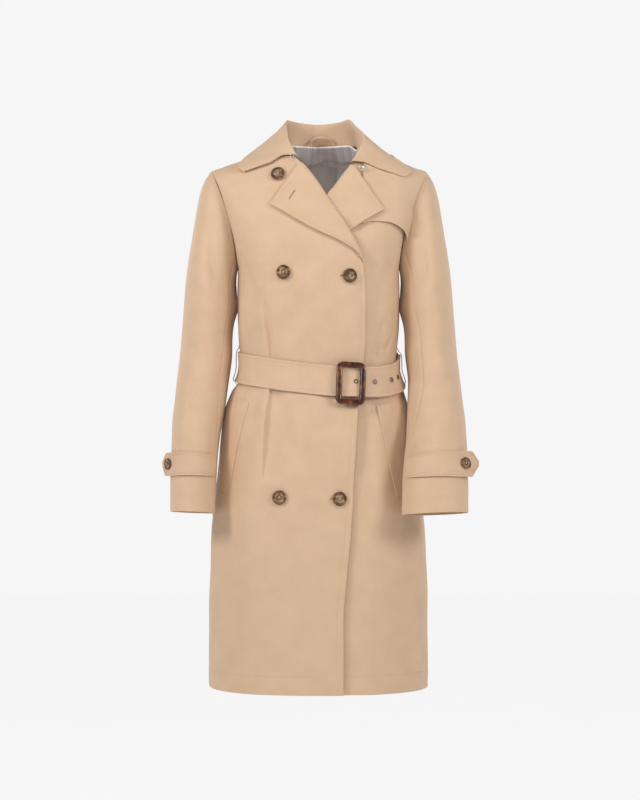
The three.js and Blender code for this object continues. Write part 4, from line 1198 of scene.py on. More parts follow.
def belt_point(around, share, lift):
    around = np.asarray(around, float)
    lift = lift + belt_flare(around, share)
    line = belt_line(around)
    place = one_turn(around)
    z = line + mix(-BELT_HALF, BELT_HALF, share)
    normal = body_normal(place, line - UNDERARM_Z)
    return plain_point(place, z - UNDERARM_Z) + normal * np.asarray(lift)[..., None]


def belt_lift(around):
    at_buckle = 4 + float(around_of(BUCKLE_X, BUCKLE_LINE))
    rise = smooth(at_buckle + BELT_RISE[0], at_buckle + BELT_RISE[1], around)
    fall = smooth(at_buckle + BELT_FALL[0], at_buckle + BELT_FALL[1], around)
    return mix(mix(BELT_LIFT, WINDOW_LIFT, rise), TAIL_LIFT, fall)


def belt(material):
    start = float(around_of(BUCKLE_X + BELT_START, BUCKLE_LINE))
    around = start + (BELT_END - start) * spaced(*BELT_COLUMNS)[None, :]
    share = spaced(*BELT_ROWS)[:, None]
    high = share * 2 * BELT_HALF
    edge = np.minimum(high, 2 * BELT_HALF - high)
    relief = stitch_groove(edge - BELT_STITCH) + ridge(edge, BELT_RIB)
    ripple = waves(BELT_WAVES, around * QUARTER, high)
    lift = belt_lift(around) + relief + ripple
    outer = belt_point(around + 0 * share, share + 0 * around, lift)
    normals = grid_normals(outer)
    inner = belt_point(around + 0 * share, share + 0 * around, belt_lift(around) + ripple - BELT_THICK)
    for offset in (BELT_STITCH, 2 * BELT_HALF - BELT_STITCH):
        row = int(np.argmin(np.abs(high[:, 0] - offset)))
        sew(outer[row], normals[row])
    return cloth_piece("belt", outer, inner, material)


def facing_matrix(point, normal, roll=0.0):
    """Turns a piece so that its own +Z points out of the coat, and moves it there."""
    normal = Vector(normal).normalized()
    sideways = Vector((0, 0, 1)).cross(normal).normalized()
    upright = normal.cross(sideways)
    turn = Matrix((sideways, upright, normal)).transposed().to_4x4()
    return Matrix.Translation(Vector(point) * MM) @ turn @ Matrix.Rotation(roll, 4, "Z")


def faces_between(rings):
    """Faces between lists of point numbers; a ring may be one point, repeated."""
    faces = []
    for low, high in zip(rings, rings[1:]):
        for k in range(len(low)):
            ahead = (k + 1) % len(low)
            face = list(dict.fromkeys([low[k], low[ahead], high[ahead], high[k]]))
            if len(face) > 2:
                faces.append(face)
    return faces


def turned(profile, segments):
    """Points and faces of a closed profile of (radius, height) turned about +Z."""
    points, rings = [], []
    for radius, high in profile:
        if radius == 0:
            rings.append([len(points)] * segments)
            points.append((0, 0, high))
            continue
        rings.append(list(range(len(points), len(points) + segments)))
        for k in range(segments):
            angle = 2 * math.pi * k / segments
            points.append((radius * math.cos(angle), radius * math.sin(angle), high))
    return points, faces_between(rings)


def solid_piece(name, points, faces, material, slot, matrix):
    """A hard piece in place of the node of this name, with each point's place in its own plane."""
    piece = make_mesh(f"{name}_trim", points, faces, np.asarray(points)[:, :2])
    piece.data.materials.append(material)
    piece.data.transform(matrix)
    return dress(piece, [name])


# Buckle: a rounded frame with a flat bar across its back
BUCKLE = {"wide": 50, "tall": 73, "corner": 9.5, "bar": 10, "thick": 5.6, "lean": 3.7, "lift": 14}
BUCKLE_SHIFT = (-3.2, -1.4, -4.2)
BUCKLE_SIDES = 24
# Below 1, the frame's cross section is squarer than an ellipse
BUCKLE_SQUARE = 0.62
BUCKLE_BAR = {"wide": 6, "thick": 2.4, "lift": 5, "corner": 1.1}


def rounded_line(wide, tall, corner, arc_steps, side_steps):
    """A rounded rectangle's points, anticlockwise from the right side."""
    x, y = wide / 2 - corner, tall / 2 - corner
    line = []
    for quarter, (centre_x, centre_y) in enumerate([(x, y), (-x, y), (-x, -y), (x, -y)]):
        for k in range(arc_steps):
            angle = (quarter + k / (arc_steps - 1)) * math.pi / 2
            line.append((centre_x + corner * math.cos(angle), centre_y + corner * math.sin(angle)))
        ahead = [(-x, y), (-x, -y), (x, -y), (x, y)][quarter]
        angle = (quarter + 1) * math.pi / 2
        start = line[-1]
        stop = (ahead[0] + corner * math.cos(angle), ahead[1] + corner * math.sin(angle))
        line += [tuple(mix(np.array(start), np.array(stop), k / side_steps)) for k in range(1, side_steps)]
    return np.array(line)


def buckle_frame():
    line = rounded_line(BUCKLE["wide"] - BUCKLE["bar"], BUCKLE["tall"] - BUCKLE["bar"],
                        BUCKLE["corner"] - 3, arc_steps=12, side_steps=10)
    ahead = unit(np.roll(line, -1, 0) - np.roll(line, 1, 0))
    points = []
    for place, way in zip(line, ahead):
        for k in range(BUCKLE_SIDES):
            angle = 2 * math.pi * k / BUCKLE_SIDES
            cosine, sine = math.cos(angle), math.sin(angle)
            across = math.copysign(abs(cosine) ** BUCKLE_SQUARE, cosine) * BUCKLE["bar"] / 2
            deep = math.copysign(abs(sine) ** BUCKLE_SQUARE, sine) * BUCKLE["thick"] / 2
            points.append((place[0] + way[1] * across, place[1] - way[0] * across, deep))
    return points, [face[::-1] for face in tube_faces(len(line), BUCKLE_SIDES, closed=True)]


def rounded_box(wide, tall, thick, corner):
    line = rounded_line(wide, tall, corner, arc_steps=5, side_steps=3)
    rows = [(0.8, -0.5), (1, -0.3), (1, 0.3), (0.8, 0.5)]
    points = [(x * inset, y * (1 - (1 - inset) * wide / tall), high * thick)
              for inset, high in rows for x, y in line]
    count = len(line)
    faces = tube_faces(len(rows), count)
    faces.append(list(range(count))[::-1])
    faces.append([(len(rows) - 1) * count + i for i in range(count)])
    return points, faces


def buckle(material):
    around = float(around_of(BUCKLE_X, BUCKLE_LINE))
    rising = belt_point(around, 1, 0) - belt_point(around, 0, 0)
    across = belt_point(around + 0.1, 0.5, 0) - belt_point(around - 0.1, 0.5, 0)
    normal = unit(np.cross(across, rising))
    point = belt_point(around, 0.5, 0)
    lean = -math.radians(BUCKLE["lean"])
    frame_point = point + normal * BUCKLE["lift"] + np.array(BUCKLE_SHIFT)
    frame_place = facing_matrix(frame_point, normal, lean)
    solid_piece("buckle_frame", *buckle_frame(), material, "shell", frame_place)
    tall = BUCKLE["tall"] - 2 * BUCKLE["bar"] - 1
    bar = rounded_box(BUCKLE_BAR["wide"], tall, BUCKLE_BAR["thick"], BUCKLE_BAR["corner"])
    bar_place = facing_matrix(point + normal * BUCKLE_BAR["lift"], normal, lean)
    solid_piece("buckle_bar", *bar, material, "shell", bar_place)


# Buttons: a raised rim, a dished face and four holes with a crossed thread
FRONT_BUTTONS = named_rows("name x z roll",
    ("button_top", -68, -49, 0.3),
    ("button_chest_left", -58, -216, 0.9),
    ("button_chest_right", 52, -222, 0.2),
    ("button_skirt_left", -64, -592, 0.6),
    ("button_skirt_right", 35, -594, 1.1))
FRONT_BUTTON = {"radius": 11.9, "thick": 4, "lift": 3.2}
CUFF_BUTTON = {"radius": 9.8, "thick": 3.6, "lift": 2.6}
BUTTON_PROFILE = [
    (0, -0.5), (0.55, -0.5), (0.8, -0.46), (0.93, -0.24), (1, 0.02), (0.995, 0.2), (0.96, 0.36),
    (0.9, 0.46), (0.84, 0.48), (0.78, 0.42), (0.73, 0.28), (0.68, 0.16), (0.6, 0.1),
]
BUTTON_SEGMENTS = 64
DISH = {"radius": BUTTON_PROFILE[-1][0], "high": 0.1, "deep": 0.06}
DISH_RINGS = 16
HOLE = {"off": 0.16, "radius": 0.085, "deep": 0.34, "soft": 0.014}
THREAD_SHIFTS = (-0.35, 0, 0.35)


def button_mesh(radius, thick):
    """Profile turned from the back over the rim to the dish, then a dished middle with holes."""
    points, faces = turned([(r * radius, h * thick) for r, h in BUTTON_PROFILE], BUTTON_SEGMENTS)
    rings = [list(range(len(points) - BUTTON_SEGMENTS, len(points)))]
    for ring in range(1, DISH_RINGS):
        share = DISH["radius"] * (1 - ring / DISH_RINGS)
        rings.append(list(range(len(points), len(points) + BUTTON_SEGMENTS)))
        for k in range(BUTTON_SEGMENTS):
            angle = 2 * math.pi * k / BUTTON_SEGMENTS
            x, y = share * math.cos(angle), share * math.sin(angle)
            points.append((x * radius, y * radius, dish(x, y) * thick))
    rings.append([len(points)] * BUTTON_SEGMENTS)
    points.append((0, 0, dish(0, 0) * thick))
    return points, faces + faces_between(rings)


def dish(x, y):
    """Height of the button's dished face, in thicknesses, with its four holes."""
    high = DISH["high"] - DISH["deep"] * (1 - (math.hypot(x, y) / DISH["radius"]) ** 2)
    for across in (-1, 1):
        for along in (-1, 1):
            off = math.hypot(x - across * HOLE["off"], y - along * HOLE["off"])
            high -= HOLE["deep"] / (1 + math.exp((off - HOLE["radius"]) / HOLE["soft"]))
    return high


def add_button(name, sizes, matrix, material):
    solid_piece(name, *button_mesh(sizes["radius"], sizes["thick"]), material, "horn", matrix)
    reach = HOLE["off"] * sizes["radius"]
    inner = matrix.to_3x3()
    up = np.array(inner @ Vector((0, 0, 1)))
    for turn in (1, -1):
        for shift in THREAD_SHIFTS:
            ends = []
            for end in (-1, 1):
                x, y = end * reach + shift * turn, end * turn * reach - shift
                place = Vector((x, y, sizes["thick"] * 0.16))
                ends.append(np.array(matrix @ (place * MM)) / MM)
            add_stitch(*ends, up, 0.25)


def buttons(material):
    for row in FRONT_BUTTONS:
        point = on_plain_front(row["x"], row["z"], FRONT_BUTTON["lift"])
        matrix = facing_matrix(point, front_normal(row["x"], row["z"]), row["roll"])
        add_button(row["name"], FRONT_BUTTON, matrix, material)


def on_plain_front(x, z, lift):
    """A place on the front with the large folds only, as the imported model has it."""
    up = up_of(x, z)
    around = around_of(x, up)
    return plain_point(around, up) + body_normal(around, up) * (lift + fold_depth(around, up))[..., None]


# Eyelets in the belt's tail
EYELETS = named_rows("x raise",
    (61, 0.9),
    (91, 0.9),
    (118, 0.9),
    (129, 1.6))
EYELET_PROFILE = [(2, -0.4), (2.9, -0.42), (3.8, -0.36), (3.95, -0.1), (3.75, 0.2), (3.2, 0.52),
                  (2.6, 0.56), (2.15, 0.3), (2, -0.4)]
EYELET_SEGMENTS = 40
# Places around between which the tail comes down from the buckle's window
WINDOW_FADE = (0.44, 0.7)


def eyelets(material):
    for number, row in enumerate(EYELETS, 1):
        around = float(around_of(row["x"], BUCKLE_LINE))
        at_window = 1 - float(smooth(*WINDOW_FADE, around))
        lift = mix(TAIL_LIFT, WINDOW_LIFT, at_window) + row["raise"]
        name = f"eyelet_{number}"
        matrix = facing_matrix(belt_point(around, 0.5, lift), body_normal(around, BUCKLE_LINE))
        solid_piece(name, *turned(EYELET_PROFILE, EYELET_SEGMENTS), material, "dark_metal", matrix)


# Belt loops over the side seams
LOOP = {"half": 4, "thick": 1.2, "tight": (0.8, 1), "arch": 0.25, "rows": 61}
LOOP_ACROSS = (-1, -0.86, -0.6, -0.2, 0.2, 0.6, 0.86, 1)
# Between these heights the loop stops following the belt's flare
LOOP_FLARE = (26, 34)
LOOP_LINE = named_rows("rise lift",
    (-36, 2),
    (-32, 3.6),
    (-26, 9),
    (-13, 10.6),
    (0, 11),
    (13, 10.6),
    (26, 9),
    (32, 3.6),
    (36, 2))


def belt_loop(side, name, material):
    rise = np.linspace(LOOP_LINE[0]["rise"], LOOP_LINE[-1]["rise"], LOOP["rows"])[:, None]
    across = np.array(LOOP_ACROSS)[None, :]
    z = float(belt_z(side)) + rise
    up = z - UNDERARM_Z + 0 * across
    around = side * (1 + side * across * LOOP["half"] / QUARTER) + 0 * rise
    lift = LOOP["tight"][side > 0] * column(LOOP_LINE, "rise", "lift")(rise)
    lift = lift + LOOP["arch"] * (1 - across ** 2)
    flare = belt_flare(around, 0.5 + rise / 2 / BELT_HALF)
    lift = lift + flare * (1 - smooth(*LOOP_FLARE, np.abs(rise)))
    normal = body_normal(side + 0 * around, up)
    outer = plain_point(around, up) + normal * lift[..., None]
    inner = outer - normal * LOOP["thick"]
    return cloth_piece(name, outer, inner, material)


# Slanted pocket welts, placed around the body by their front edge
POCKETS = named_rows("name side top bottom top_x bottom_x",
    ("pocket_left", -1, -436, -590, 117, 156),
    ("pocket_right", 1, -441, -592, 98, 131))
WELT = {"wide": 30, "slant": 7, "lift": 1.5, "stitch": 4, "rim": 0.3, "rim_wide": 1.5}
WELT_ROWS = (1, 0.02, (0.004, 0.012, 0.022))
WELT_COLUMNS = (1, 0.06, (0.025, 0.06, 0.1, 0.13, 0.16))


def pocket_face(row, low, across, lift):
    z = mix(row["bottom"], row["top"], low)
    x = mix(row["bottom_x"], row["top_x"], low)
    up = z - UNDERARM_Z
    share = across if row["side"] > 0 else 1 - across
    around = row["side"] * (around_of(x, up) + WELT["wide"] / QUARTER * share)
    return body_point(around, up + share * WELT["slant"], WELT["lift"] + lift)


def pocket_welt(row, material):
    low = spaced(*WELT_ROWS)[:, None]
    across = spaced(*WELT_COLUMNS)[None, :]
    edge = np.minimum(across, 1 - across) * WELT["wide"]
    ends = np.minimum(low, 1 - low) * (row["top"] - row["bottom"])
    relief = stitch_groove(edge - WELT["stitch"]) + stitch_groove(ends - WELT["stitch"], WIDE_GROOVE)
    relief = relief - WELT["rim"] * bell(np.minimum(edge, ends) / WELT["rim_wide"])
    outer = pocket_face(row, low, across, relief)
    normals = grid_normals(outer)
    inner = pocket_face(row, low, across, relief - TRIM)
    for share in (WELT["stitch"] / WELT["wide"], 1 - WELT["stitch"] / WELT["wide"]):
        at = int(np.argmin(np.abs(across[0] - share)))
        sew(outer[:, at], normals[:, at])
    for at in (4, -5):
        sew(outer[at], normals[at])
    return cloth_piece(row["name"], outer, inner, material)


# Sleeve rings: outer and inner point of each, middle y, half depth, and rise of the front point
RING_COLUMNS = "out_x out_z in_x in_z y deep rise"
SLEEVE_TOP = [
    (SHOULDER_HALF, -37, UNDERARM_HALF, UNDERARM_Z, SIDE_Y, ARMHOLE_DEEP, 0),
    (198, -58, 141, -222, 2, 54, 0),
    (210, -105, 143.5, -240, 1, 60, 0),
    (219, -165, 145, -262, 0, 63, 0),
    (227, -235, 146.5, -295, -2, 62, 2),
]
SLEEVE_LEFT = [
    (236, -327, 147, -345, -5, 59, 3),
    (242, -385, 154, -400, -15, 57, 4),
    (246, -438, 161, -450, -27, 55, 5),
    (248.5, -480, 166.5, -490, -40, 53, 5),
    (249.5, -519, 170.5, -527, -52, 51, 5),
    (250, -562, 173, -566, -63, 50, 4),
    (249.6, -617, 174, -620, -76, 49, 4),
]
SLEEVE_RIGHT = [
    (236, -327, 147, -342, -8, 59, 4),
    (241.5, -385, 153, -400, -25, 57, 6),
    (245, -438, 151, -452, -52, 54, 8),
    (247.5, -480, 147, -492, -80, 52, 7),
    (249, -519, 143, -529, -101, 50, 6),
    (249, -565, 140, -570, -119, 49, 5),
    (248.3, -616, 137.5, -620, -134, 49, 5),
]
FRONT_SEAM = named_rows("along left right",
    (0, 138, 126),
    (0.3, 148, 130),
    (0.46, 138, 118),
    (0.56, 134, 119),
    (0.7, 150, 142),
    (0.8, 156, 154),
    (1, 160, 160))
BACK_SEAM = 250
ARMHOLE_GAP = 0.15
SLEEVE_STITCH = 0.955
SLEEVE_ROWS = (1, 1 / 170, (0.0012, 0.003, 0.006))
SLEEVE_NEAR = (0.35, 0.9, 1.6)
SLEEVE_SEAM_DIP = 1.5
# Shares of the length over which the armhole's bow and its gap fade out, and the gap's drop
SLEEVE_HEAD = {"bow": 0.2, "gap": 0.05, "drop": 0.3}
# Fine creases are left out at the head and weaker at the cuff
SLEEVE_CALM = {"head": 0.05, "cuff": 0.9, "weaker": 0.7}
# Degrees around a sleeve start over at its back seam
SLEEVE_SPLIT = 360 - BACK_SEAM

# Large creases across the sleeves: share of the length, degrees around, and sizes
SLEEVE_FOLDS = named_rows("along around long wide depth",
    (0.42, 120, 0.05, 46, -4),
    (0.52, 40, 0.05, 40, -3),
    (0.34, 60, 0.06, 50, 3),
    (0.6, 130, 0.05, 42, 3),
    (0.5, 260, 0.07, 50, -4),
    (0.24, 100, 0.08, 38, -4),
    (0.2, 208, 0.06, 28, 4),
    (0.305, 198, 0.065, 28, 8))

# Finer creases of the sleeves, from one place to another: millimetres around from the outer
# line towards the front, and millimetres down from the shoulder
SLEEVE_LENGTH = 590
SLEEVE_GIRTH = 52
LEFT_CREASES = named_rows("start end width trough step",
    ((60, 40), (84, 190), 10, 2.2, 0.8),
    ((90, 90), (92, 210), 8, 1.6, 0),
    ((20, 260), (80, 300), 10, 1.6, 0),
    ((84, 300), (30, 330), 9, 1.8, 0),
    ((60, 350), (66, 470), 10, 1.4, 0.6),
    ((-30, 240), (-70, 330), 12, 1.8, 0),
    ((-90, 300), (-40, 340), 10, 2, 0),
    ((20, 520), (90, 505), 6, 0.9, 0))
RIGHT_CREASES = named_rows("start end width trough step",
    ((70, 46), (90, 200), 10, 2.2, -0.8),
    ((40, 120), (60, 240), 12, 1.4, 0),
    ((90, 250), (20, 290), 9, 1.8, 0),
    ((20, 320), (86, 350), 10, 1.8, 0.5),
    ((44, 370), (54, 480), 11, 1.4, 0),
    ((-30, 250), (-80, 320), 12, 1.8, 0),
    ((-100, 330), (-40, 350), 10, 2, 0),
    ((10, 510), (70, 530), 6, 0.9, 0))
SLEEVE_WAVES = named_rows("across up phase high",
    (8, 5, 1.1, 0.45),
    (-11, 9, 3.3, 0.3),
    (19, 13, 0.2, 0.16))


def sleeve_ring(rows, side):
    """A function of share along and angle around that gives the plain sleeve's points."""
    table = named_rows(RING_COLUMNS, *SLEEVE_TOP, *rows)
    for i, row in enumerate(table):
        row["along"] = i / (len(table) - 1)
    curves = {name: column(table, "along", name) for name in RING_COLUMNS.split()}

    def read(along, angle):
        at = {name: curve(along) for name, curve in curves.items()}
        cosine, sine = np.cos(angle), np.sin(angle)
        bow = ARMHOLE_BOW * sine * sine * (1 - smooth(0, SLEEVE_HEAD["bow"], along))
        x = (at["out_x"] + at["in_x"]) / 2 + (at["out_x"] - at["in_x"]) / 2 * cosine - bow
        z = (at["out_z"] + at["in_z"]) / 2 + (at["out_z"] - at["in_z"]) / 2 * cosine + at["rise"] * sine
        gap = ARMHOLE_GAP * (1 - smooth(0, SLEEVE_HEAD["gap"], along))
        y = at["y"] - at["deep"] * sine
        return np.stack([side * (x + gap), y, z - gap * SLEEVE_HEAD["drop"]], -1)

    return read


def sleeve_depth(along, angle, creases):
    degrees = np.degrees(angle) % 360
    depth = np.zeros(np.broadcast(along, angle).shape)
    for fold in SLEEVE_FOLDS:
        off = ((degrees - fold["around"] + 540) % 360 - 180) / fold["wide"]
        far = (along - fold["along"]) / fold["long"]
        depth = depth + fold["depth"] * np.exp(-off ** 2 - far ** 2)
    signed = (degrees + SLEEVE_SPLIT) % 360 - SLEEVE_SPLIT
    across = np.radians(signed) * SLEEVE_GIRTH
    down = along * SLEEVE_LENGTH
    rows = [{**row, "start": np.array(row["start"], float), "end": np.array(row["end"], float)}
            for row in creases]
    fine = crease_depth(rows, across, down) + waves(SLEEVE_WAVES, across, down)
    weaker = smooth(SLEEVE_CALM["cuff"], 1, along) * SLEEVE_CALM["weaker"]
    return depth + fine * smooth(0, SLEEVE_CALM["head"], along) * (1 - weaker)


def sleeve_point(sleeve, along, angle, lift):
    ring, side = sleeve["ring"], sleeve["side"]
    along, angle = paired(along, angle)
    step = 0.01
    around = ring(along, angle + step) - ring(along, angle - step)
    down = ring(np.minimum(along + step, 1), angle) - ring(np.maximum(along - step, 0), angle)
    normal = unit(np.cross(around, down)) * side
    depth = lift + sleeve_depth(along, angle, sleeve["creases"])
    return ring(along, angle) + normal * np.asarray(depth)[..., None]


SLEEVES = named_rows("name side rows creases strap leave wrap tab button",
    ("left", -1, SLEEVE_LEFT, LEFT_CREASES, 0.861, 45, 88, 44, 19),
    ("right", 1, SLEEVE_RIGHT, RIGHT_CREASES, 0.856, 60, 87, 51, 21.5))
for sleeve_row in SLEEVES:
    sleeve_row["ring"] = sleeve_ring(sleeve_row["rows"], sleeve_row["side"])
    sleeve_row["seam"] = column(FRONT_SEAM, "along", sleeve_row["name"])


def sleeve_piece(sleeve, part, columns, material):
    """The top piece runs from the back seam over the outside to the front one, the under one inside."""
    share = spaced(1, 1 / columns, [near / columns for near in SLEEVE_NEAR])[None, :]
    along = spaced(*SLEEVE_ROWS)[:, None]
    trim = SEAM_GAP / 4 / SLEEVE_GIRTH
    seam = np.radians(sleeve["seam"](along))
    start = (math.radians(BACK_SEAM - 360) if part == "top" else seam) + trim
    stop = (seam if part == "top" else math.radians(BACK_SEAM)) - trim
    angle = mix(start, stop, share)
    from_seam = np.minimum(share, 1 - share) * (stop - start) * SLEEVE_GIRTH
    relief = SLEEVE_SEAM_DIP * seam_dip(from_seam) + seam_dip(along * SLEEVE_LENGTH)
    relief = relief + stitch_groove((along - SLEEVE_STITCH) * SLEEVE_LENGTH, WIDE_GROOVE)
    outer = sleeve_point(sleeve, along, angle, relief)
    inner = sleeve_point(sleeve, along, angle, relief - CLOTH)
    normals = unit(outer - inner)
    row = int(np.argmin(np.abs(along[:, 0] - SLEEVE_STITCH)))
    sew(outer[row], normals[row])
    name = f"sleeve_{part}_{sleeve['name']}"
    return cloth_piece(name, outer, inner, material)


# Cuff straps: from the front seam across the front, then off the sleeve to a pointed tip
STRAP = {"half": 0.04, "start": 2, "end": 3.4, "point": 14, "tip": 0.2, "bend": 0.0022, "tilt": 0.005}
STRAP_STITCH = (3, 7)
STRAP_GROOVE = 0.8
STRAP_COLUMNS = (1, 0.014, (0.004, 0.01, 0.018))
STRAP_ROWS = (1, 0.05, (0.015, 0.04, 0.075, 0.11, 0.17))


def strap_half(sleeve, length):
    to_tip = sleeve["wrap"] + sleeve["tab"] - length
    return STRAP["half"] * mix(STRAP["tip"], 1, np.minimum(1, to_tip / STRAP["point"]))


def strap_point(sleeve, length, high, lift):
    """Length runs in millimetres from the seam to the tip; the last part stands off straight."""
    length, high = paired(length, high)
    half = strap_half(sleeve, length)
    tilt = STRAP["tilt"] * mix(-1, 1, length / (sleeve["wrap"] + sleeve["tab"]))
    along = sleeve["strap"] + tilt + mix(-half, half, high)
    wrapped = np.minimum(length / sleeve["wrap"], 1)
    leave = math.radians(sleeve["leave"])
    angle = mix(math.radians(float(sleeve["seam"](sleeve["strap"]))), leave, wrapped)
    rise = mix(STRAP["start"], STRAP["end"], smooth(0, 0.4, wrapped)) + lift
    point = sleeve_point(sleeve, along, angle, rise)
    past = np.maximum(0, length - sleeve["wrap"])[..., None]
    step = 0.05
    ahead = unit(sleeve["ring"](along, leave - step) - sleeve["ring"](along, leave + step))
    out = unit(np.cross(ahead, np.array([0, 0, sleeve["side"]])))
    return point + ahead * past - out * STRAP["bend"] * past ** 2


def cuff_strap(sleeve, material):
    long = sleeve["wrap"] + sleeve["tab"]
    length = long * spaced(*STRAP_COLUMNS)[None, :]
    high = spaced(*STRAP_ROWS)[:, None]
    tall = 2 * strap_half(sleeve, length) * SLEEVE_LENGTH
    edge = np.minimum(np.minimum(high, 1 - high) * tall, long - length)
    relief = sum(stitch_groove(edge - offset, STRAP_GROOVE) for offset in STRAP_STITCH)
    outer = strap_point(sleeve, length, high, relief)
    normals = grid_normals(outer, -sleeve["side"])
    inner = outer - normals * TRIM
    for offset in STRAP_STITCH:
        for from_top in (True, False):
            share = offset / tall[0]
            place = share if from_top else 1 - share
            keep = np.abs(place - 0.5) > 0.04
            path = strap_point(sleeve, length[0], place, THREAD_LIFT)
            sew(path[keep], normals[len(high) // 2][keep])
    name = f"cuff_strap_{sleeve['name']}"
    return cloth_piece(name, outer, inner, material)


def cuff_button(sleeve, material):
    length = sleeve["wrap"] + sleeve["button"]
    point = strap_point(sleeve, length, 0.5, 0)
    across = strap_point(sleeve, length + 1, 0.5, 0) - strap_point(sleeve, length - 1, 0.5, 0)
    rising = strap_point(sleeve, length, 0.4, 0) - strap_point(sleeve, length, 0.6, 0)
    normal = unit(np.cross(across, rising)) * sleeve["side"]
    matrix = facing_matrix(point + normal * CUFF_BUTTON["lift"], normal, 0.7)
    add_button(f"cuff_button_{sleeve['name']}", CUFF_BUTTON, matrix, material)


# Hook on the left notch and eye on the right one
def wire_ring(radius, wire, gap):
    """A ring of round wire, open by a gap in radians."""
    count, sides = 40, 10
    points = []
    for i in range(count + 1):
        turn = gap / 2 + (2 * math.pi - gap) * i / count
        for k in range(sides):
            angle = 2 * math.pi * k / sides
            reach = radius + wire * math.cos(angle)
            points.append((reach * math.cos(turn), reach * math.sin(turn), wire * math.sin(angle)))
    faces = [face[:1] + face[:0:-1] for face in tube_faces(count + 1, sides)]
    faces.append(list(range(sides)))
    faces.append([count * sides + k for k in range(sides)][::-1])
    return points, faces


CLOSURE = named_rows("name x z lift radius wire rings roll",
    ("neck_hook", -44, -21, 7.5, 3, 0.7, (0,), 0.4),
    ("neck_eye", 73, -42, 10, 3.2, 0.9, (-3.6, 3.6), 0.35))
WIRE_GAP = 0.25


def hook_and_eye(material):
    """The hook shows one small ring, the eye two side by side."""
    for row in CLOSURE:
        points, faces = [], []
        for off in row["rings"]:
            ring_points, ring_faces = wire_ring(row["radius"], row["wire"], WIRE_GAP)
            faces += [[len(points) + corner for corner in face] for face in ring_faces]
            points += [(x + off, y, z) for x, y, z in ring_points]
        place = on_plain_front(row["x"], row["z"], row["lift"])
        matrix = facing_matrix(place, front_normal(row["x"], row["z"]), row["roll"])
        solid_piece(row["name"], points, faces, material, "steel", matrix)


# Materials
class Recipe:
    """A node material, built up a few nodes at a time."""

    def __init__(self, name):
        self.material = bpy.data.materials.new(name)
        self.material.use_nodes = True
        self.nodes = self.material.node_tree.nodes
        self.links = self.material.node_tree.links
        self.shader = self.nodes["Principled BSDF"]

    def set(self, **values):
        for label, value in values.items():
            self.shader.inputs[label.replace("_", " ")].default_value = value

    def node(self, kind, **settings):
        made = self.nodes.new(kind)
        for key, value in settings.items():
            if hasattr(made, key):
                setattr(made, key, value)
            else:
                made.inputs[key.replace("_", " ")].default_value = value
        return made

    def join(self, source, target):
        self.links.new(source, target)

    def weave_place(self):
        made = self.node("ShaderNodeAttribute")
        made.attribute_name = "weave"
        return made.outputs["Vector"]

    def object_place(self):
        return self.node("ShaderNodeTexCoord").outputs["Object"]

    def after(self, source, kind, socket, output, **settings):
        """A node that takes a source in at a socket; gives back its output."""
        made = self.node(kind, **settings)
        self.join(source, made.inputs[socket])
        return made.outputs[output]

    def scaled(self, place, scale):
        return self.after(place, "ShaderNodeMapping", "Vector", "Vector", Scale=scale)

    def noise(self, place, scale, detail, roughness, distortion=0.0):
        return self.after(place, "ShaderNodeTexNoise", "Vector", "Fac", Scale=scale, Detail=detail,
                          Roughness=roughness, Distortion=distortion)

    def twill(self, place, pitch):
        """Diagonal ribs, with their pitch in metres."""
        return self.after(place, "ShaderNodeTexWave", "Vector", "Fac", wave_type="BANDS",
                          bands_direction="DIAGONAL", Scale=2 * math.pi / 10 / pitch,
                          Distortion=0.6, Detail=1.0, Detail_Scale=1.5)

    def ramp(self, value, stops):
        made = self.node("ShaderNodeValToRGB")
        while len(made.color_ramp.elements) < len(stops):
            made.color_ramp.elements.new(0.5)
        for element, (position, colour) in zip(made.color_ramp.elements, stops):
            element.position = position
            element.color = (*colour, 1)
        self.join(value, made.inputs["Fac"])
        return made.outputs["Color"]

    def blend(self, first, second, share):
        """Two values or colours mixed by a number or by a value of the material."""
        made = self.node("ShaderNodeMix", data_type="RGBA")
        if isinstance(share, float):
            made.inputs["Factor"].default_value = share
        else:
            self.join(share, made.inputs["Factor"])
        self.join(first, made.inputs["A"])
        self.join(second, made.inputs["B"])
        return made.outputs["Result"]

    def outside(self, place, low, high):
        """0 nearer the middle than low, 1 beyond high."""
        far = self.after(place, "ShaderNodeVectorMath", 0, "Value", operation="LENGTH")
        return self.after(far, "ShaderNodeMapRange", "Value", "Result", From_Min=low, From_Max=high)

    def bump(self, height, distance, strength, before=None):
        made = self.node("ShaderNodeBump", Strength=strength, Distance=distance)
        self.join(height, made.inputs["Height"])
        if before is not None:
            self.join(before, made.inputs["Normal"])
        return made.outputs["Normal"]

    def range(self, value, low, high):
        return self.after(value, "ShaderNodeMapRange", "Value", "Result", To_Min=low, To_Max=high)

    def paint(self, colour=None, roughness=None, normal=None):
        for socket, label in [(colour, "Base Color"), (roughness, "Roughness"), (normal, "Normal")]:
            if socket is not None:
                self.join(socket, self.shader.inputs[label])
        return self.material


COTTON_DARK = (0.56, 0.378, 0.242)
COTTON_LIGHT = (0.64, 0.44, 0.294)
TWILL_PITCH = 0.0007


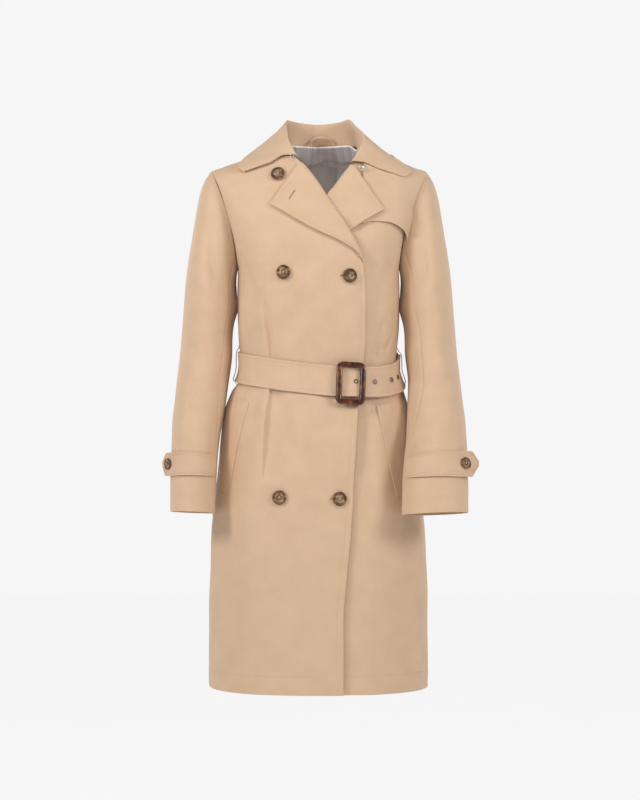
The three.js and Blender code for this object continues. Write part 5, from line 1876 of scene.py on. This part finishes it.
def cotton_material():
    """Fine beige gabardine with diagonal ribs and a little unevenness in its dye."""
    make = Recipe("beige_gabardine")
    place = make.weave_place()
    ribs = make.twill(place, TWILL_PITCH)
    cloudy = make.noise(place, 26, 4, 0.55)
    slubs = make.noise(make.scaled(place, (900, 130, 1)), 1, 2, 0.6)
    tone = make.blend(cloudy, ribs, 0.18)
    tone = make.blend(tone, slubs, 0.22)
    colour = make.ramp(tone, [(0.28, COTTON_DARK), (0.72, COTTON_LIGHT)])
    rough = make.range(cloudy, 0.66, 0.78)
    crumple = make.noise(place, 70, 3, 0.5)
    normal = make.bump(crumple, 0.0011, 0.22)
    normal = make.bump(slubs, 0.0001, 0.35, normal)
    normal = make.bump(ribs, 0.00012, 0.4, normal)
    make.set(Sheen_Weight=0.18, Sheen_Roughness=0.5, Specular_IOR_Level=0.35)
    make.shader.inputs["Sheen Tint"].default_value = (1, 0.93, 0.85, 1)
    return make.paint(colour, rough, normal)


def lining_material():
    """Grey-mauve satin with irregular faint stripes down it."""
    make = Recipe("striped_lining")
    place = make.weave_place()
    stripes = make.noise(make.scaled(place, (330, 9, 1)), 1, 3, 0.65)
    wide = make.noise(make.scaled(place, (90, 4, 1)), 1, 2, 0.5)
    tone = make.blend(stripes, wide, 0.35)
    colour = make.ramp(tone, [(0.38, (0.74, 0.68, 0.66)), (0.5, (0.92, 0.88, 0.86)),
                              (0.6, (0.98, 0.96, 0.95))])
    threads = make.twill(place, 0.0004)
    normal = make.bump(threads, 0.00006, 0.3)
    normal = make.bump(make.noise(place, 45, 3, 0.5), 0.0014, 0.3, normal)
    make.set(Sheen_Weight=0.3, Anisotropic=0.2)
    return make.paint(colour, make.range(stripes, 0.5, 0.6), normal)


def label_material():
    """Plain woven ribbon, greyer than the lining."""
    make = Recipe("bare_label_ribbon")
    place = make.weave_place()
    ribs = make.noise(make.scaled(place, (260, 2600, 1)), 1, 2, 0.5)
    cloudy = make.noise(place, 60, 3, 0.5)
    colour = make.ramp(make.blend(cloudy, ribs, 0.4),
                       [(0.3, (0.56, 0.52, 0.48)), (0.7, (0.7, 0.66, 0.61))])
    return make.paint(colour, make.range(ribs, 0.5, 0.62), make.bump(ribs, 0.00008, 0.5))


def thread_material():
    """Beige sewing thread with its twist."""
    make = Recipe("beige_thread")
    place = make.object_place()
    twist = make.twill(place, 0.0005)
    tone = make.blend(twist, make.noise(place, 40, 2, 0.5), 0.5)
    colour = make.ramp(tone, [(0.2, (0.5, 0.335, 0.2)), (0.8, (0.68, 0.48, 0.31))])
    make.set(Sheen_Weight=0.15)
    return make.paint(colour, make.range(twist, 0.5, 0.65), make.bump(twist, 0.0001, 0.5))


def buttonhole_shade_material():
    """The slit of a buttonhole, seen between its bound edges, coloured near black as painted shade."""
    make = Recipe("buttonhole_slit")
    fibres = make.noise(make.object_place(), 900, 3, 0.6)
    # Near-black browns: painted shade for the dark inside the cut
    colour = make.ramp(fibres, [(0.3, (0.05, 0.03, 0.02)), (0.7, (0.12, 0.075, 0.045))])
    return make.paint(colour, make.range(fibres, 0.8, 0.95), make.bump(fibres, 0.0002, 0.5))


# Distances from a button's middle, in metres, between which its face turns into its rim
HORN_RIM = (0.0066, 0.0082)


def horn_material():
    """Brown horn with darker clouds and a few pale streaks."""
    make = Recipe("brown_horn")
    place = make.object_place()
    clouds = make.noise(place, 95, 4, 0.6, 1.2)
    streaks = make.noise(make.scaled(place, (60, 60, 260)), 1, 3, 0.6, 0.6)
    tone = make.blend(clouds, streaks, 0.4)
    face = make.ramp(tone, [(0.34, (0.06, 0.03, 0.015)), (0.5, (0.2, 0.12, 0.06)),
                            (0.62, (0.42, 0.31, 0.19))])
    rim = make.ramp(tone, [(0.4, (0.04, 0.015, 0.006)), (0.53, (0.12, 0.045, 0.015)),
                           (0.66, (0.38, 0.18, 0.06))])
    colour = make.blend(face, rim, make.outside(make.weave_place(), *HORN_RIM))
    make.set(Coat_Weight=0.15, Coat_Roughness=0.2, Specular_IOR_Level=0.35)
    return make.paint(colour, make.range(streaks, 0.22, 0.34), make.bump(clouds, 0.0002, 0.12))


def shell_material():
    """Polished dark tortoiseshell with amber patches."""
    make = Recipe("tortoiseshell")
    place = make.object_place()
    patches = make.noise(place, 46, 3, 0.55, 0.9)
    specks = make.noise(place, 190, 3, 0.6, 0.5)
    tone = make.blend(patches, specks, 0.25)
    colour = make.ramp(tone, [(0.38, (0.022, 0.006, 0.003)), (0.52, (0.07, 0.019, 0.007)),
                              (0.62, (0.19, 0.058, 0.016)), (0.74, (0.42, 0.17, 0.05))])
    make.set(Coat_Weight=0.35, Coat_Roughness=0.1, Specular_IOR_Level=0.4)
    return make.paint(colour, make.range(specks, 0.14, 0.22), make.bump(specks, 0.0001, 0.08))


def metal_material(name, dark, light, low, high):
    make = Recipe(name)
    place = make.object_place()
    marks = make.noise(make.scaled(place, (900, 900, 120)), 1, 3, 0.6)
    wear = make.noise(place, 260, 3, 0.5)
    colour = make.ramp(wear, [(0.3, dark), (0.7, light)])
    make.set(Metallic=1.0)
    return make.paint(colour, make.range(marks, low, high), make.bump(marks, 0.00004, 0.3))


def floor_material():
    make = Recipe("pale_floor")
    grain = make.noise(make.object_place(), 3, 3, 0.5)
    make.set(Emission_Strength=FLOOR_GLOW, Roughness=0.9)
    make.shader.inputs["Base Color"].default_value = (0.05, 0.05, 0.05, 1)
    make.shader.inputs["Specular IOR Level"].default_value = 0
    make.join(make.ramp(grain, [(0.3, (1, 1, 1)), (0.7, (0.995, 0.995, 0.995))]),
              make.shader.inputs["Emission Color"])
    return make.material


# Studio
BACKGROUND = 0.921
AMBIENT = 0.27
FLOOR_GLOW = 0.9
FLOOR_Z = -1600
FLOOR_HALF = 9000
CAMERA = {"x": 2.6, "y": -3600, "z": -430, "lens": 62.8, "sensor": 24}
LIGHTS = named_rows("name at to size watts",
    ("key", (-2400, -1850, 1050), (0, 0, -150), 800, 50),
    ("fill", (2400, -1950, 850), (0, 0, -150), 850, 40),
    ("front", (-250, -3200, 600), (0, 0, -150), 700, 10),
    ("top_front", (-150, -1500, 1700), (0, 0, -300), 650, 12),
    ("rear_left", (-2000, 2500, 600), (0, 0, -420), 1700, 26),
    ("rear_right", (2100, 2300, 300), (0, 0, -420), 1700, 20))


def add_light(row):
    lamp = bpy.data.lights.new(row["name"], "AREA")
    lamp.shape = "SQUARE"
    lamp.size = row["size"] * MM
    lamp.energy = row["watts"]
    holder = add_object(row["name"], lamp)
    holder.location = Vector(row["at"]) * MM
    aim = (Vector(row["to"]) - Vector(row["at"])).normalized()
    holder.rotation_euler = aim.to_track_quat("-Z", "Y").to_euler()


def studio():
    world = bpy.data.worlds.new("studio")
    bpy.context.scene.world = world
    world.use_nodes = True
    nodes, links = world.node_tree.nodes, world.node_tree.links
    choose = nodes.new("ShaderNodeMixShader")
    path = nodes.new("ShaderNodeLightPath")
    links.new(path.outputs["Is Camera Ray"], choose.inputs["Fac"])
    sources = [(nodes["Background"], AMBIENT), (nodes.new("ShaderNodeBackground"), BACKGROUND)]
    for number, (source, strength) in enumerate(sources, 1):
        source.inputs["Color"].default_value = (1, 1, 1, 1)
        source.inputs["Strength"].default_value = strength
        links.new(source.outputs["Background"], choose.inputs[number])
    links.new(choose.outputs["Shader"], nodes["World Output"].inputs["Surface"])
    signs = [(-1, -1), (1, -1), (1, 1), (-1, 1)]
    corners = [(x * FLOOR_HALF, y * FLOOR_HALF, FLOOR_Z) for x, y in signs]
    floor = make_mesh("floor", corners, [[0, 1, 2, 3]])
    floor.data.materials.append(floor_material())
    for row in LIGHTS:
        add_light(row)
    camera = bpy.data.cameras.new("camera")
    camera.sensor_fit = "VERTICAL"
    camera.sensor_height = CAMERA["sensor"]
    camera.lens = CAMERA["lens"]
    camera.clip_end = 40
    holder = add_object("camera", camera)
    holder.location = (CAMERA["x"] * MM, CAMERA["y"] * MM, CAMERA["z"] * MM)
    holder.rotation_euler = (math.pi / 2, 0, 0)
    bpy.context.scene.camera = holder
    bpy.context.scene.view_settings.view_transform = "Standard"


# Buttonholes: a slit between two bound edges of thread; the slit is a dark sheet of painted shade
BUTTONHOLES = named_rows("x z to_x to_z lift",
    (-39, -79, -49, -94, 4.2),
    (36, -222, 62, -222, 0.1),
    (20, -594, 46, -594, 0.1))
BOUND_EDGE = {"off": 0.9, "half": 0.8, "stitches": 60, "lift": 0.05}
SLIT = {"half": 0.35, "high": 0.25, "deep": 0.2, "steps": 14}


def buttonholes(slit):
    points, faces = [], []
    for row in BUTTONHOLES:
        share = np.linspace(0, 1, SLIT["steps"] + 1)
        x, z = mix(row["x"], row["to_x"], share), mix(row["z"], row["to_z"], share)
        middle = on_front(x, z, row["lift"])
        normals = front_normal(x, z)
        ahead = unit(np.gradient(middle, axis=0))
        side = np.cross(ahead, normals)
        for sign in (-1, 1):
            edge = middle + side * sign * BOUND_EDGE["off"]
            for k in range(BOUND_EDGE["stitches"]):
                at = k / (BOUND_EDGE["stitches"] - 1) * SLIT["steps"]
                i = min(int(at), SLIT["steps"] - 1)
                spot = mix(edge[i], edge[i + 1], at - i)
                reach = side[i] * BOUND_EDGE["half"]
                add_stitch(spot - reach, spot + reach, normals[i], BOUND_EDGE["lift"])
        base = len(points)
        for place, aside, out in zip(middle, side * SLIT["half"], normals):
            points += [place + aside + out * SLIT["high"], place - aside + out * SLIT["high"],
                       place - out * SLIT["deep"]]
        faces += tube_faces(len(share), 3, base)
        faces.append([base, base + 2, base + 1])
        last = base + (len(share) - 1) * 3
        faces.append([last, last + 1, last + 2])
    piece = make_mesh("buttonhole_slits", np.array(points), faces)
    piece.data.materials.append(slit)
    dress(piece, [])


# Everything together
cotton = cotton_material()
satin = lining_material()
ribbon = label_material()
thread = thread_material()
horn = horn_material()
tortoiseshell = shell_material()
steel = metal_material("polished_steel", (0.5, 0.5, 0.51), (0.72, 0.72, 0.73), 0.2, 0.32)
bronze = metal_material("dark_metal", (0.1, 0.08, 0.07), (0.24, 0.2, 0.17), 0.28, 0.42)

front_panel(-1, "front_over", cotton)
front_panel(1, "front_under", cotton)
back_panel(cotton)
back_lining(satin)
label(ribbon)
hanger_loop(cotton)
collar(cotton)
lapel(left_fold, LEFT_OUTER, -1, "lapel_left", cotton)
lapel(right_fold, RIGHT_OUTER, 1, "lapel_right", cotton)
storm_flap(cotton)
for sleeve_row in SLEEVES:
    sleeve_piece(sleeve_row, "top", 64, cotton)
    sleeve_piece(sleeve_row, "under", 36, cotton)
    cuff_strap(sleeve_row, cotton)
    cuff_button(sleeve_row, horn)
for pocket in POCKETS:
    pocket_welt(pocket, cotton)
belt(cotton)
buckle(tortoiseshell)
eyelets(bronze)
belt_loop(-1, "belt_loop_left", cotton)
belt_loop(1, "belt_loop_right", cotton)
buttons(horn)
hook_and_eye(steel)
buttonholes(buttonhole_shade_material())
thread_piece("stitching", thread)

studio()
